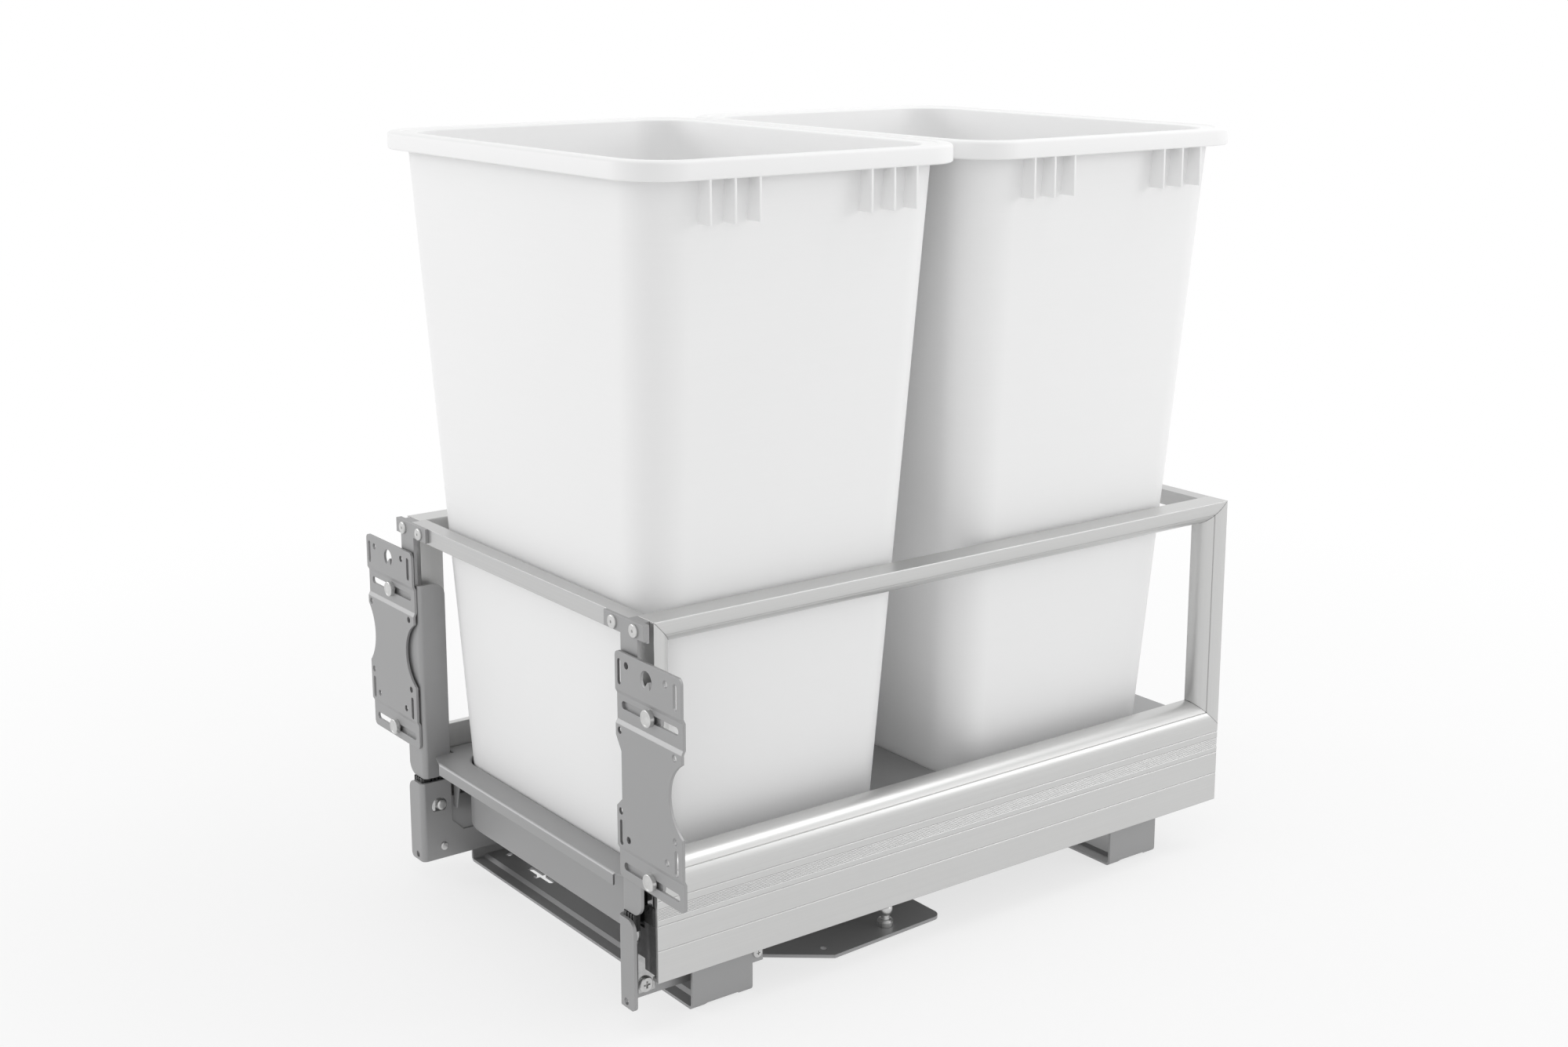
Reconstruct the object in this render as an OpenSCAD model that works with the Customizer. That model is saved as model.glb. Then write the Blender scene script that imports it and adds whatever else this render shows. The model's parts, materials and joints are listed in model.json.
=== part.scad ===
// Pull out frame for two waste bins: a bin drawer on telescopic slides, with plates for a cabinet door.
// Millimetres. X runs across the cabinet, Y from the door to the back, Z up from the cabinet floor.

/* [Side frames] */
// Width over the outer faces of the side frames
frame_w = 350; // [320:1:420]
// Depth of a side frame
frame_d = 550; // [500:1:620]
// Height of the frame's top above the floor
frame_top = 292; // [270:1:340]
// Height of the frame's underside above the floor
frame_bottom = 38; // [32:1:48]
// Height of the bottom rail's flat face, up to the moulding
rail_h = 65.5; // [62:0.5:80]
// Thickness of the mouldings, across the cabinet
mould_t = 20; // [18:0.5:26]
// Width of the mouldings, in the plane of the frame
mould_w = 19; // [18.5:0.5:26]
// Radius of the mouldings' rounded edge
mould_r = 17.5; // [14:0.5:17.5]
// Wall of the hollow mouldings
skin = 2.5; // [1.8:0.1:3]
// Depth of the fine grooves in the mouldings
groove = 0.5; // [0.3:0.1:0.8]
// Pitch of the fine flutes on the bottom rail
flute_pitch = 1.1; // [1:0.1:1.5]
// Number of fine flutes on the bottom rail
flute_count = 8; // [3:1:9]
// Length of a corner key's legs
key_leg = 40; // [25:1:60]

/* [Cross bars] */
// Side of the square cross bars
bar_s = 12.5; // [11.5:0.5:16]
// Wall of the cross bars
bar_wall = 1.5; // [1:0.1:2]
// How far the front bar stands before the side frames
bar_lead = 6.5; // [5:0.5:8]
// Length of the plug that holds an end fitting in the front bar
bar_plug = 14; // [8:1:30]

/* [Tray] */
// Thickness of the tray's sheet
tray_t = 1.5; // [1:0.1:2]
// Depth of a tub below the tray's top
tub_depth = 56; // [35:1:58]
// Height of the lip at the tray's front
lip_h = 9.5; // [6:0.5:12]
// How far the tray's front stands before the side frames
lip_lead = 5; // [3:0.5:5.5]
// Gap between a bin and its tub
tub_gap = 1; // [0.5:0.1:2]
// Corner radius of a tub
tub_r = 28; // [20:1:30]

/* [Bins] */
// Height of the bins' rims above the floor
bin_top = 591; // [500:1:650]
// Height of the turned-down rim
rim_h = 13; // [10:0.5:18]
// How far the rim stands out from the bin's wall
rim_over = 12; // [9:0.5:16]
// Corner radius of the rim
rim_r = 50; // [44:1:60]
// Wall of the bins
bin_wall = 2.5; // [1.8:0.1:3.5]
// Gap between a bin and the top rails
bin_side_gap = 4; // [2:0.5:10]
// Gap between the rims of the two bins
bin_gap = 5; // [3:0.5:10]
// How far the front bin's rim stands before the side frames
rim_lead = 13; // [5:0.5:14]
// Gap from the rear bin's rim to the back of the side frames
rim_rear = 10; // [5:0.5:20]
// Slope of the bins' left and right walls
draft_x = 0.088; // [0.05:0.001:0.095]
// Slope of the bins' front and back walls
draft_y = 0.04; // [0.02:0.001:0.045]
// Height of the ribs under the rim
rib_h = 28; // [18:1:40]
// Length of a cluster of ribs
rib_len = 52; // [36:1:60]

/* [Floor brackets] */
// Depth of a floor bracket
foot_d = 51.5; // [46:0.5:60]
// Thickness of the floor brackets' sheet
foot_t = 2; // [1.5:0.1:3]
// Distance of the front bracket behind the frame's front
foot_front = 38; // [34:1:60]
// Distance of the rear bracket before the frame's back
foot_rear = 53; // [40:1:70]
// Radius of the floor screw holes
foot_hole_r = 2.75; // [2:0.05:3.5]
// Distance of a floor screw hole from the bracket's end
foot_hole_in = 16.5; // [13:0.5:20]
// Thickness of the damper plate
damper_t = 2.5; // [2:0.1:4]
// Width of the damper plate
damper_w = 96; // [80:1:110]
// Length of the damper plate
damper_len = 191; // [160:1:220]
// Radius of the ball on the damper plate
ball_stud_r = 5.5; // [4:0.5:6]

/* [Slides] */
// Thickness of a slide
slide_t = 13; // [12.5:0.1:13.5]
// Height of a slide
slide_h = 45; // [42:0.5:46]
// Sheet of the slide members
member_t = 1.4; // [1:0.1:1.5]
// Diameter of the slide balls
ball_d = 4; // [3.5:0.1:4.4]
// Distance of the slides behind the frame's front
slide_front = 32; // [30:1:37]
// Distance of the slides before the frame's back
slide_rear = 18; // [10:1:30]
// Balls in each row of a cage
ball_count = 6; // [4:1:10]

/* [Front brackets] */
// Sheet of the front brackets
bracket_t = 2.5; // [2:0.1:3]
// Width of a bracket's front strip
strip_w = 24.5; // [22:0.5:28]
// Depth of the brackets' inner flange behind their front face
flange_d = 23; // [18:0.5:26]
// Corner radius of the upper bracket's flange
flange_r = 10; // [6:1:20]
// Depth of the lower bracket's foot behind its front face
foot_leg = 65; // [45:1:72]
// How far the lower bracket stands before the upper one
lower_step = 3.4; // [2.6:0.1:4.5]
// Height of the gap between the upper and the lower bracket
adjuster_gap = 3.5; // [2.5:0.5:8]
// Thickness of the toothed height adjusters
adjuster_t = 2; // [1.5:0.1:2.5]
// Thickness of the front clips
clip_t = 2; // [1.5:0.1:2.5]

/* [Door plates] */
// Width of a door plate
plate_w = 78; // [74:1:100]
// Height of a door plate
plate_h = 160; // [158:1:180]
// Thickness of a door plate
plate_t = 2; // [1.5:0.1:3]
// Offset of a plate's slotted bands towards the bracket
joggle = 1.5; // [1:0.1:1.8]
// Distance of the plates' top below the frame's top
plate_drop = 22.5; // [18:0.5:30]
// Distance of the plates' middle outside the side frames
plate_out = 10.5; // [6:0.5:16]
// Width of the adjusting slots
slot_w = 5.6; // [5.4:0.1:7]
// Radius of the door screw holes
plate_hole_r = 2.5; // [2:0.05:3]
// Radius of the knobs' heads
knob_r = 6; // [5:0.5:7.5]
// Height of the knobs' heads
knob_h = 3.6; // [2.5:0.1:5]

/* [Hidden] */
$fn = 64;
fit = 0.2;
running = 0.3;
overshoot = 1;

// Side frames
side_x = frame_w / 2;
wall_x = side_x - skin;
rail_in = side_x - mould_t;
mould_z = frame_bottom + rail_h;
mould_top = mould_z + mould_w;
groove_turn = 33;
rail_grooves = [23, 41, 59];
flute_rise = 45.6;
flute_z = frame_bottom + flute_rise;
return_w = 7;
key_near = skin + fit;
key_far = mould_w - mould_r * 0.32;
key_out = side_x - mould_r * 0.56;

// Tray and its ledge on the bottom rail
tray_top = mould_z - 0.5;
ledge_t = 2;
ledge_top = tray_top - tray_t;
ledge_z = ledge_top - ledge_t;
ledge_in = rail_in - 7;
tray_half = rail_in - 1;
tub_z = tray_top - tub_depth;
gusset_w = 15;
gusset_foot = 4.5;
gusset_h = 46;

// Fitting at an end of the front bar
tab_t = 2;
tab_in = 5;

// Slides, from the floor bracket's upright out to the bottom rail's wall
slide_x = wall_x - slide_t;
slide_z = frame_bottom + 7 + slide_h / 2;
slide_back = frame_d - slide_rear;
slide_len = slide_back - slide_front;
race = ball_d + 2 * running;
fixed_half = slide_h / 2;
middle_half = fixed_half - member_t - race;
inner_half = middle_half - member_t - race;
tip_x = wall_x - 2;
middle_x = slide_x + member_t + 1.6;
inner_x = middle_x + member_t + 1.9;
cage_t = 0.7;
cage_len = slide_len / 2 - 30;
cage_y = slide_front + slide_len / 2 - cage_len / 2 - slide_len / 8;
inner_cage_y = slide_front + 0.75 * slide_len - cage_len - 15;
slide_screw_r = 2;
slide_head_r = 3.6;
slide_head_h = 1.2;

// Floor brackets
foot_x = slide_x;
upright_top = slide_z + fixed_half - 2;
front_foot_y = foot_front;
rear_foot_y = frame_d - foot_rear - foot_d;
foot_hole_x = foot_x - foot_hole_in;
cross_in = 51;
cross_x = foot_hole_x - cross_in;
cross_len = 36;
cross_w = 5;
cross_arm = 14;
edge_strip = 9;
raise_w = 3;
raise_h = 2.2;
foot_bend = 4;
foot_bolts = [-14, 14];
foot_tab_h = 14;
foot_tab_d = 9;
foot_tab_z = 28;
foot_tab_hole = 2.2;
foot_screw_head_r = 3.8;
foot_screw_head_h = 1.8;

// Damper plate, on the rear edge of the front floor bracket
damper_front = front_foot_y + foot_d - edge_strip + fit;
damper_top = foot_t + damper_t;
damper_x = foot_x - 1;
damper_in = damper_x - damper_w;
damper_back = damper_front + damper_len;
damper_neck = 30;
damper_shoulder = 84;
damper_taper = 5;
damper_r = 8;
damper_hole_in = 14;
stud_x = damper_x - 17;
stud_in = 46;
stud_y = damper_back - stud_in;
collar_r = 6.2;
collar_h = 4;
neck_h = 10;
ball_h = 13;
rivet_xs = [damper_in + 8, damper_in + 22];
rivet_y = damper_front + 4;
rivet_r = 3;
rivet_h = 1.2;

// Front brackets: bar, bracket, plate and knob follow each other towards the door
bracket_back = -bar_lead;
bracket_front = bracket_back - bracket_t;
bracket_in = rail_in - 10.5;
flange_x = bracket_in + bracket_t;
strip_out = bracket_in + strip_w;
bend_r = 4;
tray_corner = bracket_in - 2.5;
lip_half = tray_corner - 15;
flange_back = bracket_front + flange_d;
tray_notch = flange_back + 2;
lower_front = bracket_front - lower_step;
lower_back = lower_front + bracket_t;
lower_out = strip_out - 4.5;
lower_drop = 22;
lower_rise = 43.5;
lower_foot = frame_bottom - lower_drop;
lower_top = frame_bottom + lower_rise;
strip_hole_in = 10.5;
strip_hole_up = 4.5;
strip_hole_r = 2.6;
leg_back = bracket_front + foot_leg;
leg_top = frame_bottom - 2;
backing_back = leg_back - 12;
backing_foot = lower_foot + 6;
backing_rise = 28;
backing_top = frame_bottom + backing_rise;
upper_foot = lower_top + adjuster_gap;
ear_h = 11;
ear_in = rail_in - 27;
ear_out = side_x + 1.5;
ear_screw_z = frame_top - 6;
ear_screw_xs = [ear_in + 11, rail_in + 10];
ear_screw_r = 1.8;
ear_head_r = 4.8;
ear_head_h = 1.6;
cam_y = 3;
cam_rise = 23;
cam_z = frame_bottom + cam_rise;
cam_r = 6.5;
cam_shank_r = 2.2;
cam_proud = 1.5;
clamp_y = 6;
clamp_drop = 12;
clamp_z = frame_bottom - clamp_drop;
clamp_r = 2;
clamp_nut_r = 3.3;
clamp_nut_h = 1.8;
clamp_head_r = 5.8;
clamp_head_h = 2.5;
clip_h = 48;
clip_foot = frame_bottom + 4;
clip_top = clip_foot + clip_h;
clip_y = 0.5;
clip_back = 26;
clip_face_gap = 11;
clip_face_in = flange_x + clip_face_gap;
lug_half = 11;
lug_top = cam_z + lug_half;
adjuster_foot = lug_top + 0.5;
adjuster_top = min(upper_foot + 13, ledge_z - 1);
tooth_pitch = 3.2;
tooth_gap = 1.4;

// Door plates
band_back = bracket_front;
band_front = band_back - plate_t;
plate_front = band_front - joggle;
plate_x = side_x + plate_out;
plate_top = frame_top - plate_drop;
plate_z = plate_top - plate_h;
slot_low = 9;
slot_drop = 37;
slot_high = plate_h - slot_drop;
slot_end = 5.5;
knob_zs = [plate_z + slot_low, plate_z + slot_high];
knob_shank_r = slot_w / 2 - running;
knob_front = band_front - knob_h;
lug_r = 10.5;
plate_corner = 4;
side_hole_low = 48;
side_hole_drop = 55;

// Bins
rim_z = bin_top - rim_h;
bin_z = tub_z + tray_t;
rim_d = (frame_d + rim_lead - rim_rear - bin_gap) / 2;
bin_pitch = rim_d + bin_gap;
bin_front_y = rim_d / 2 - rim_lead;
function bin_half_x(z) = rail_in - bin_side_gap + draft_x * (z - frame_top);
function bin_half_y(z) = rim_d / 2 - rim_over + draft_y * (z - rim_z);
rim_half_x = bin_half_x(rim_z) + rim_over;
bin_r_base = 30;
bin_r_top = 42;
rib_out = 11;
rib_valley = 5;
rib_count = 3;
rib_centre = 66;

// The origin is under the middle of the whole part
origin_y = (frame_d + knob_front) / 2;

// Flat helpers: a profile swept along one axis, a span of a profile, a box and round rods
module along_x(x0, x1) translate([x0, 0, 0]) rotate([90, 0, 90]) linear_extrude(x1 - x0) children();
module along_y(y0, y1) translate([0, y1, 0]) rotate([90, 0, 0]) linear_extrude(y1 - y0) children();
module along_z(z0, z1) translate([0, 0, z0]) linear_extrude(z1 - z0) children();
module span(a0, a1, b0, b1) translate([a0, b0]) square([a1 - a0, b1 - b0]);
module box(x0, x1, y0, y1, z0, z1) translate([x0, y0, z0]) cube([x1 - x0, y1 - y0, z1 - z0]);
module rod_x(x0, x1, y, z, r) translate([x0, y, z]) rotate([0, 90, 0]) cylinder(h = x1 - x0, r = r);
module rod_y(y0, y1, x, z, r) translate([x, y1, z]) rotate([90, 0, 0]) cylinder(h = y1 - y0, r = r);
module rod_z(z0, z1, x, y, r) translate([x, y, z0]) cylinder(h = z1 - z0, r = r);

module round_rect(w, d, r) {
    square([w - 2 * r, d], center = true);
    square([w, d - 2 * r], center = true);
    for (x = [-1, 1], y = [-1, 1])
        translate([x * (w / 2 - r), y * (d / 2 - r)])
            circle(r);
}

// A slot with round ends, from a to b along its own X axis
module slot(a, b, w) {
    span(a + w / 2, b - w / 2, -w / 2, w / 2);
    for (end = [a + w / 2, b - w / 2])
        translate([end, 0])
            circle(w / 2);
}

// The quarter ring of a bent sheet, in the third quadrant
module quarter_bend(r, t)
    intersection() {
        difference() {
            circle(r);
            circle(r - t);
        }
        span(-r, 0, -r, 0);
    }

// Every piece is drawn for the right side, with Y from the side frame's front
module placed() translate([0, -origin_y, 0]) children();
module right() placed() children();
module left() placed() mirror([1, 0, 0]) children();
module both() {
    right() children();
    left() children();
}

// Moulding profile: t inwards from the outer face, w from the frame's outer edge
module mould_outline(inset)
    intersection() {
        span(inset, mould_t - inset, inset, mould_w - inset);
        union() {
            translate([mould_r, mould_w - mould_r]) circle(mould_r - inset);
            span(mould_r, mould_t + overshoot, -overshoot, mould_w);
            span(-overshoot, mould_t, -overshoot, mould_w - mould_r);
        }
    }

module v_groove() rotate(45) square(groove * sqrt(2), center = true);

module mould_groove()
    translate([mould_r, mould_w - mould_r])
        rotate(180 - groove_turn)
            translate([mould_r, 0])
                v_groove();

module mould_section()
    difference() {
        mould_outline(0);
        mould_outline(skin);
        mould_groove();
    }

module aluminium() color([0.80, 0.79, 0.77]) children();
module grey_steel() color([0.62, 0.63, 0.65]) children();
module bright_steel() color([0.80, 0.80, 0.81]) children();
module dark_steel() color([0.22, 0.21, 0.20]) children();
module white_plastic() color([0.95, 0.95, 0.95]) children();

// Side frames
module top_rail()
    aluminium() intersection() {
        along_y(0, frame_d)
            translate([side_x, frame_top]) rotate(180) mould_section();
        along_x(rail_in - overshoot, side_x + overshoot)
            polygon([[0, frame_top], [mould_w, frame_top - mould_w],
                     [frame_d - mould_w, frame_top - mould_w], [frame_d, frame_top]]);
    }

module post()
    aluminium() difference() {
        intersection() {
            along_z(mould_z, frame_top)
                translate([side_x, 0]) mirror([1, 0]) mould_section();
            along_x(rail_in - overshoot, side_x + overshoot)
                polygon([[0, mould_z], [mould_w, mould_top],
                         [mould_w, frame_top - mould_w], [0, frame_top]]);
        }
        children();
    }

module front_post()
    post() rod_y(-overshoot, skin + overshoot, ear_screw_xs[1], ear_screw_z, ear_screw_r + fit);

module rear_post()
    translate([0, frame_d, 0]) mirror([0, 1, 0]) post();

module bottom_rail_section()
    difference() {
        union() {
            span(wall_x, side_x, frame_bottom, mould_z);
            span(side_x - return_w, side_x, frame_bottom, frame_bottom + skin);
            span(ledge_in, side_x, ledge_z, ledge_top);
            span(rail_in, rail_in + skin, ledge_z, mould_z);
            translate([side_x, mould_z]) mirror([1, 0]) difference() {
                mould_outline(0);
                mould_outline(skin);
                span(skin, mould_t - skin, -overshoot, skin);
                mould_groove();
            }
        }
        for (z = rail_grooves)
            translate([side_x, frame_bottom + z]) v_groove();
        for (i = [0 : flute_count - 1])
            translate([side_x, flute_z + i * flute_pitch]) v_groove();
    }

module bottom_rail()
    aluminium() difference() {
        intersection() {
            along_y(0, frame_d) bottom_rail_section();
            along_x(ledge_in - overshoot, side_x + overshoot)
                polygon([[0, frame_bottom], [frame_d, frame_bottom], [frame_d, mould_z],
                         [frame_d - mould_w, mould_top], [mould_w, mould_top], [0, mould_z]]);
        }
        for (y = slide_screw_ys())
            rod_x(wall_x - overshoot, wall_x + skin / 2, y, slide_z, slide_screw_r + fit);
    }

// Corner keys inside the mouldings: an L in the plane of the frame
module corner_key(y, z, forwards, downwards)
    along_x(rail_in + key_near, key_out)
        translate([y, z]) mirror([forwards, 0]) mirror([0, downwards])
            difference() {
                span(key_near, key_leg, key_near, key_leg);
                span(key_far, key_leg + overshoot, key_far, key_leg + overshoot);
            }

module corner_keys()
    aluminium() both() {
        corner_key(0, frame_top, 0, 1);
        corner_key(frame_d, frame_top, 1, 1);
        corner_key(0, mould_z, 0, 0);
        corner_key(frame_d, mould_z, 1, 0);
    }

// Cross bars
module bar_tube(y0)
    along_x(-rail_in, rail_in)
        difference() {
            span(y0, y0 + bar_s, frame_top - bar_s, frame_top);
            span(y0 + bar_wall, y0 + bar_s - bar_wall, frame_top - bar_s + bar_wall, frame_top - bar_wall);
        }

module front_bar()
    aluminium() placed() difference() {
        bar_tube(bracket_back);
        for (s = [-1, 1])
            rod_y(bracket_back - overshoot, bracket_back + bar_wall + overshoot,
                  s * ear_screw_xs[0], ear_screw_z, ear_screw_r + fit);
    }

module rear_bar() aluminium() placed() bar_tube(frame_d - bar_s);

module bar_end() {
    plug = bar_wall + fit;
    grey_steel() difference() {
        union() {
            box(rail_in, ear_out, bracket_back, bracket_back + tab_t, frame_top - bar_s, frame_top);
            box(rail_in, side_x - tab_in, bracket_back + tab_t, 0, frame_top - bar_s, frame_top);
            box(rail_in - bar_plug, rail_in + overshoot, bracket_back + plug, bracket_back + bar_s / 2,
                frame_top - bar_s + plug, frame_top - plug);
        }
        rod_y(bracket_back - overshoot, overshoot, ear_screw_xs[1], ear_screw_z, ear_screw_r + fit);
    }
}

// Tray: a flat sheet with a lip at the front and two tubs
function tub_w() = 2 * (bin_half_x(tray_top) + tub_gap + tray_t);
function tub_d() = 2 * (bin_half_y(tray_top) + tub_gap + tray_t);
module at_bins() for (i = [0, 1]) translate([0, bin_front_y + i * bin_pitch]) children();

module tray_sheet()
    polygon([[-lip_half, -lip_lead], [lip_half, -lip_lead], [tray_corner, 0], [tray_corner, tray_notch],
             [tray_half, tray_notch], [tray_half, frame_d], [-tray_half, frame_d], [-tray_half, tray_notch],
             [-tray_corner, tray_notch], [-tray_corner, 0]]);

module tray()
    grey_steel() placed() {
        along_z(tray_top - tray_t, tray_top) difference() {
            tray_sheet();
            at_bins() round_rect(tub_w() - 2 * tray_t, tub_d() - 2 * tray_t, tub_r - tray_t);
        }
        along_z(tub_z, tray_top) at_bins() difference() {
            round_rect(tub_w(), tub_d(), tub_r);
            round_rect(tub_w() - 2 * tray_t, tub_d() - 2 * tray_t, tub_r - tray_t);
        }
        along_z(tub_z, tub_z + tray_t) at_bins() round_rect(tub_w(), tub_d(), tub_r);
        box(-lip_half, lip_half, -lip_lead, tray_t - lip_lead, tray_top - lip_h, tray_top);
        for (s = [0, 1]) mirror([s, 0, 0]) tray_gusset();
    }

// An ear folded down behind each of the lower brackets' flanges
module tray_gusset() {
    root = tray_top - tray_t / 2;
    foot = tray_top - gusset_h;
    along_y(tray_notch, tray_notch + tray_t)
        polygon([[bracket_in, root], [bracket_in - gusset_w, root],
                 [bracket_in - gusset_foot, foot], [bracket_in, foot]]);
}

// Bins: a drafted shell with round corners, a turned-down rim and ribs under it
module bin_slab(z, inset, r)
    translate([0, 0, z]) linear_extrude(0.01)
        round_rect(2 * (bin_half_x(z) - inset), 2 * (bin_half_y(z) - inset), r - inset, $fn = 48);

module bin_block(z0, z1, inset)
    hull() {
        bin_slab(z0, inset, bin_r_base);
        bin_slab(z1, inset, bin_r_top);
    }

module rib_cluster() {
    pitch = rib_len / rib_count;
    root = bin_half_x(rim_z - rib_h) - bin_wall / 2;
    crest = bin_half_x(rim_z) + rib_out;
    valley = bin_half_x(rim_z) + rib_valley;
    along_z(rim_z - rib_h, rim_z)
        polygon(concat(
            [[root, rib_len / 2], [root, -rib_len / 2]],
            [for (i = [0 : 2 * rib_count - 2])
                [i % 2 == 0 ? crest : valley, -rib_len / 2 + (i + 1) * pitch / 2]]));
}

module bin() {
    channel_top = bin_top - bin_wall;
    white_plastic() difference() {
        union() {
            bin_block(bin_z, bin_top, 0);
            along_z(rim_z, bin_top) round_rect(2 * rim_half_x, rim_d, rim_r);
            for (x = [0, 1], y = [-1, 1])
                mirror([x, 0, 0]) translate([0, y * rib_centre, 0]) rib_cluster();
        }
        along_z(rim_z - overshoot / 100, channel_top) difference() {
            round_rect(2 * (rim_half_x - bin_wall), rim_d - 2 * bin_wall, rim_r - bin_wall);
            round_rect(2 * bin_half_x(bin_top), 2 * bin_half_y(bin_top), bin_r_top);
        }
        bin_block(bin_z + bin_wall, bin_top + overshoot, bin_wall);
    }
}

module bin_front() placed() translate([0, bin_front_y, 0]) bin();
module bin_rear() placed() translate([0, bin_front_y + bin_pitch, 0]) bin();

// Floor brackets: a pressed floor plate with upturned ends
function foot_bolt_ys(y0) = [for (d = foot_bolts) y0 + foot_d / 2 + d];
function slide_bolt_ys() = concat(foot_bolt_ys(front_foot_y), foot_bolt_ys(rear_foot_y));
function slide_screw_ys() = [for (i = [1, 3, 5]) slide_front + i * slide_len / 6];

// The bracket seen from the door: a floor plate with bent-up ends
module foot_section() {
    span(-foot_x + foot_bend, foot_x - foot_bend, 0, foot_t);
    for (s = [0, 1]) mirror([s, 0]) {
        span(-foot_x, -foot_x + foot_t, foot_bend, upright_top);
        translate([-foot_x + foot_bend, foot_bend]) quarter_bend(foot_bend, foot_t);
    }
}

// The bracket seen from the side, with round corners at the top
module foot_side(y0) {
    r = 6;
    span(y0, y0 + foot_d, 0, upright_top - r);
    span(y0 + r, y0 + foot_d - r, 0, upright_top);
    for (y = [y0 + r, y0 + foot_d - r])
        translate([y, upright_top - r]) circle(r);
}

// The pressed middle of the floor plate, from z0 up to z1, narrower by the given inset
module foot_press(y0, z0, z1, inset) {
    low = y0 + edge_strip + inset;
    high = y0 + foot_d - edge_strip - inset;
    polygon([[low, z0], [high, z0], [high, z1 - raise_h], [high - raise_w, z1],
             [low + raise_w, z1], [low, z1 - raise_h]]);
}

module floor_bracket(y0)
    grey_steel() placed() difference() {
        union() {
            intersection() {
                along_y(y0, y0 + foot_d) foot_section();
                along_x(-foot_x - overshoot, foot_x + overshoot) foot_side(y0);
            }
            along_x(-foot_x + foot_bend, foot_x - foot_bend)
                foot_press(y0, foot_t / 2, foot_t + raise_h, 0);
            children();
        }
        along_x(-foot_x - overshoot, foot_x + overshoot)
            foot_press(y0, -overshoot, raise_h, foot_t * 0.4);
        for (s = [-1, 1]) translate([0, y0 + foot_d / 2]) {
            rod_z(0, foot_t + raise_h + overshoot, s * foot_hole_x, 0, foot_hole_r);
            along_z(0, foot_t + raise_h + overshoot) translate([s * cross_x, 0]) {
                slot(-cross_len / 2, cross_len / 2, cross_w);
                rotate(90) slot(-cross_arm / 2, cross_arm / 2, cross_w);
            }
        }
        for (s = [0, 1], y = foot_bolt_ys(y0)) mirror([s, 0, 0])
            rod_x(foot_x - foot_t - overshoot, foot_x + overshoot, y, slide_z, slide_screw_r + fit);
        if ($children > 0) for (s = [0, 1]) mirror([s, 0, 0])
            rod_x(foot_x - foot_t - overshoot, foot_x + overshoot, foot_tab_y(), foot_tab_z, foot_tab_hole);
    }

function foot_tab_y() = front_foot_y + foot_d + foot_tab_d / 2 - 0.5;

module floor_bracket_front()
    floor_bracket(front_foot_y)
        for (s = [0, 1]) mirror([s, 0, 0])
            box(foot_x - foot_t, foot_x, front_foot_y + foot_d - overshoot, front_foot_y + foot_d + foot_tab_d,
                foot_tab_z - foot_tab_h / 2, foot_tab_z + foot_tab_h / 2);

module floor_bracket_rear() floor_bracket(rear_foot_y);

module foot_screws()
    bright_steel() both() {
        rod_x(foot_x - foot_t - 3, foot_x, foot_tab_y(), foot_tab_z, foot_tab_hole - fit);
        rod_x(foot_x, foot_x + foot_screw_head_h, foot_tab_y(), foot_tab_z, foot_screw_head_r);
    }

// Damper plate with its ball stud, riveted to the front floor bracket
module damper_plate() {
    shoulder = damper_front + damper_shoulder;
    edge = damper_x - damper_taper;
    grey_steel() placed() difference() {
        along_z(foot_t, damper_top) {
            polygon([[damper_in, damper_front], [damper_in + damper_neck, damper_front], [damper_x, shoulder],
                     [edge, damper_back - damper_r], [edge - damper_r, damper_back], [damper_in, damper_back]]);
            translate([edge - damper_r, damper_back - damper_r]) circle(damper_r);
        }
        rod_z(0, damper_top + overshoot, damper_x - damper_hole_in, shoulder, plate_hole_r);
    }
}

module damper_rivets()
    bright_steel() placed() for (x = rivet_xs)
        rod_z(damper_top, damper_top + rivet_h, x, rivet_y, rivet_r);

module ball_stud()
    bright_steel() placed() translate([stud_x, stud_y, damper_top]) {
        cylinder(h = collar_h, r = collar_r);
        cylinder(h = neck_h, r = ball_stud_r * 0.62);
        translate([0, 0, ball_h]) sphere(ball_stud_r);
    }

// Slide members: nested channels with rows of balls between their flanges
module channel(web_x, end_x, half) {
    inwards = sign(end_x - web_x);
    hollow = web_x + inwards * member_t;
    past = end_x + inwards * overshoot;
    inside = half - member_t;
    along_y(slide_front, slide_back) translate([0, slide_z]) difference() {
        span(min(web_x, end_x), max(web_x, end_x), -half, half);
        span(min(hollow, past), max(hollow, past), -inside, inside);
    }
}

module slide_fixed()
    bright_steel() difference() {
        channel(slide_x, tip_x, fixed_half);
        for (y = slide_bolt_ys())
            rod_x(slide_x - overshoot, slide_x + member_t + overshoot, y, slide_z, slide_screw_r + fit);
    }

module slide_middle() bright_steel() channel(middle_x, tip_x, middle_half);

module slide_inner()
    bright_steel() difference() {
        channel(wall_x, inner_x, inner_half);
        for (y = slide_screw_ys())
            rod_x(wall_x - member_t - overshoot, wall_x + overshoot, y, slide_z, slide_screw_r + fit);
    }

module slide_bolts()
    bright_steel() both() for (y = slide_bolt_ys()) {
        rod_x(foot_x - foot_t - slide_head_h, foot_x - foot_t, y, slide_z, slide_head_r);
        rod_x(foot_x - foot_t, slide_x + member_t, y, slide_z, slide_screw_r);
    }

module slide_screws()
    bright_steel() both() for (y = slide_screw_ys()) {
        rod_x(wall_x - member_t - slide_head_h, wall_x - member_t, y, slide_z, slide_head_r);
        rod_x(wall_x - member_t, wall_x + skin / 2 - fit, y, slide_z, slide_screw_r);
    }

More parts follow.
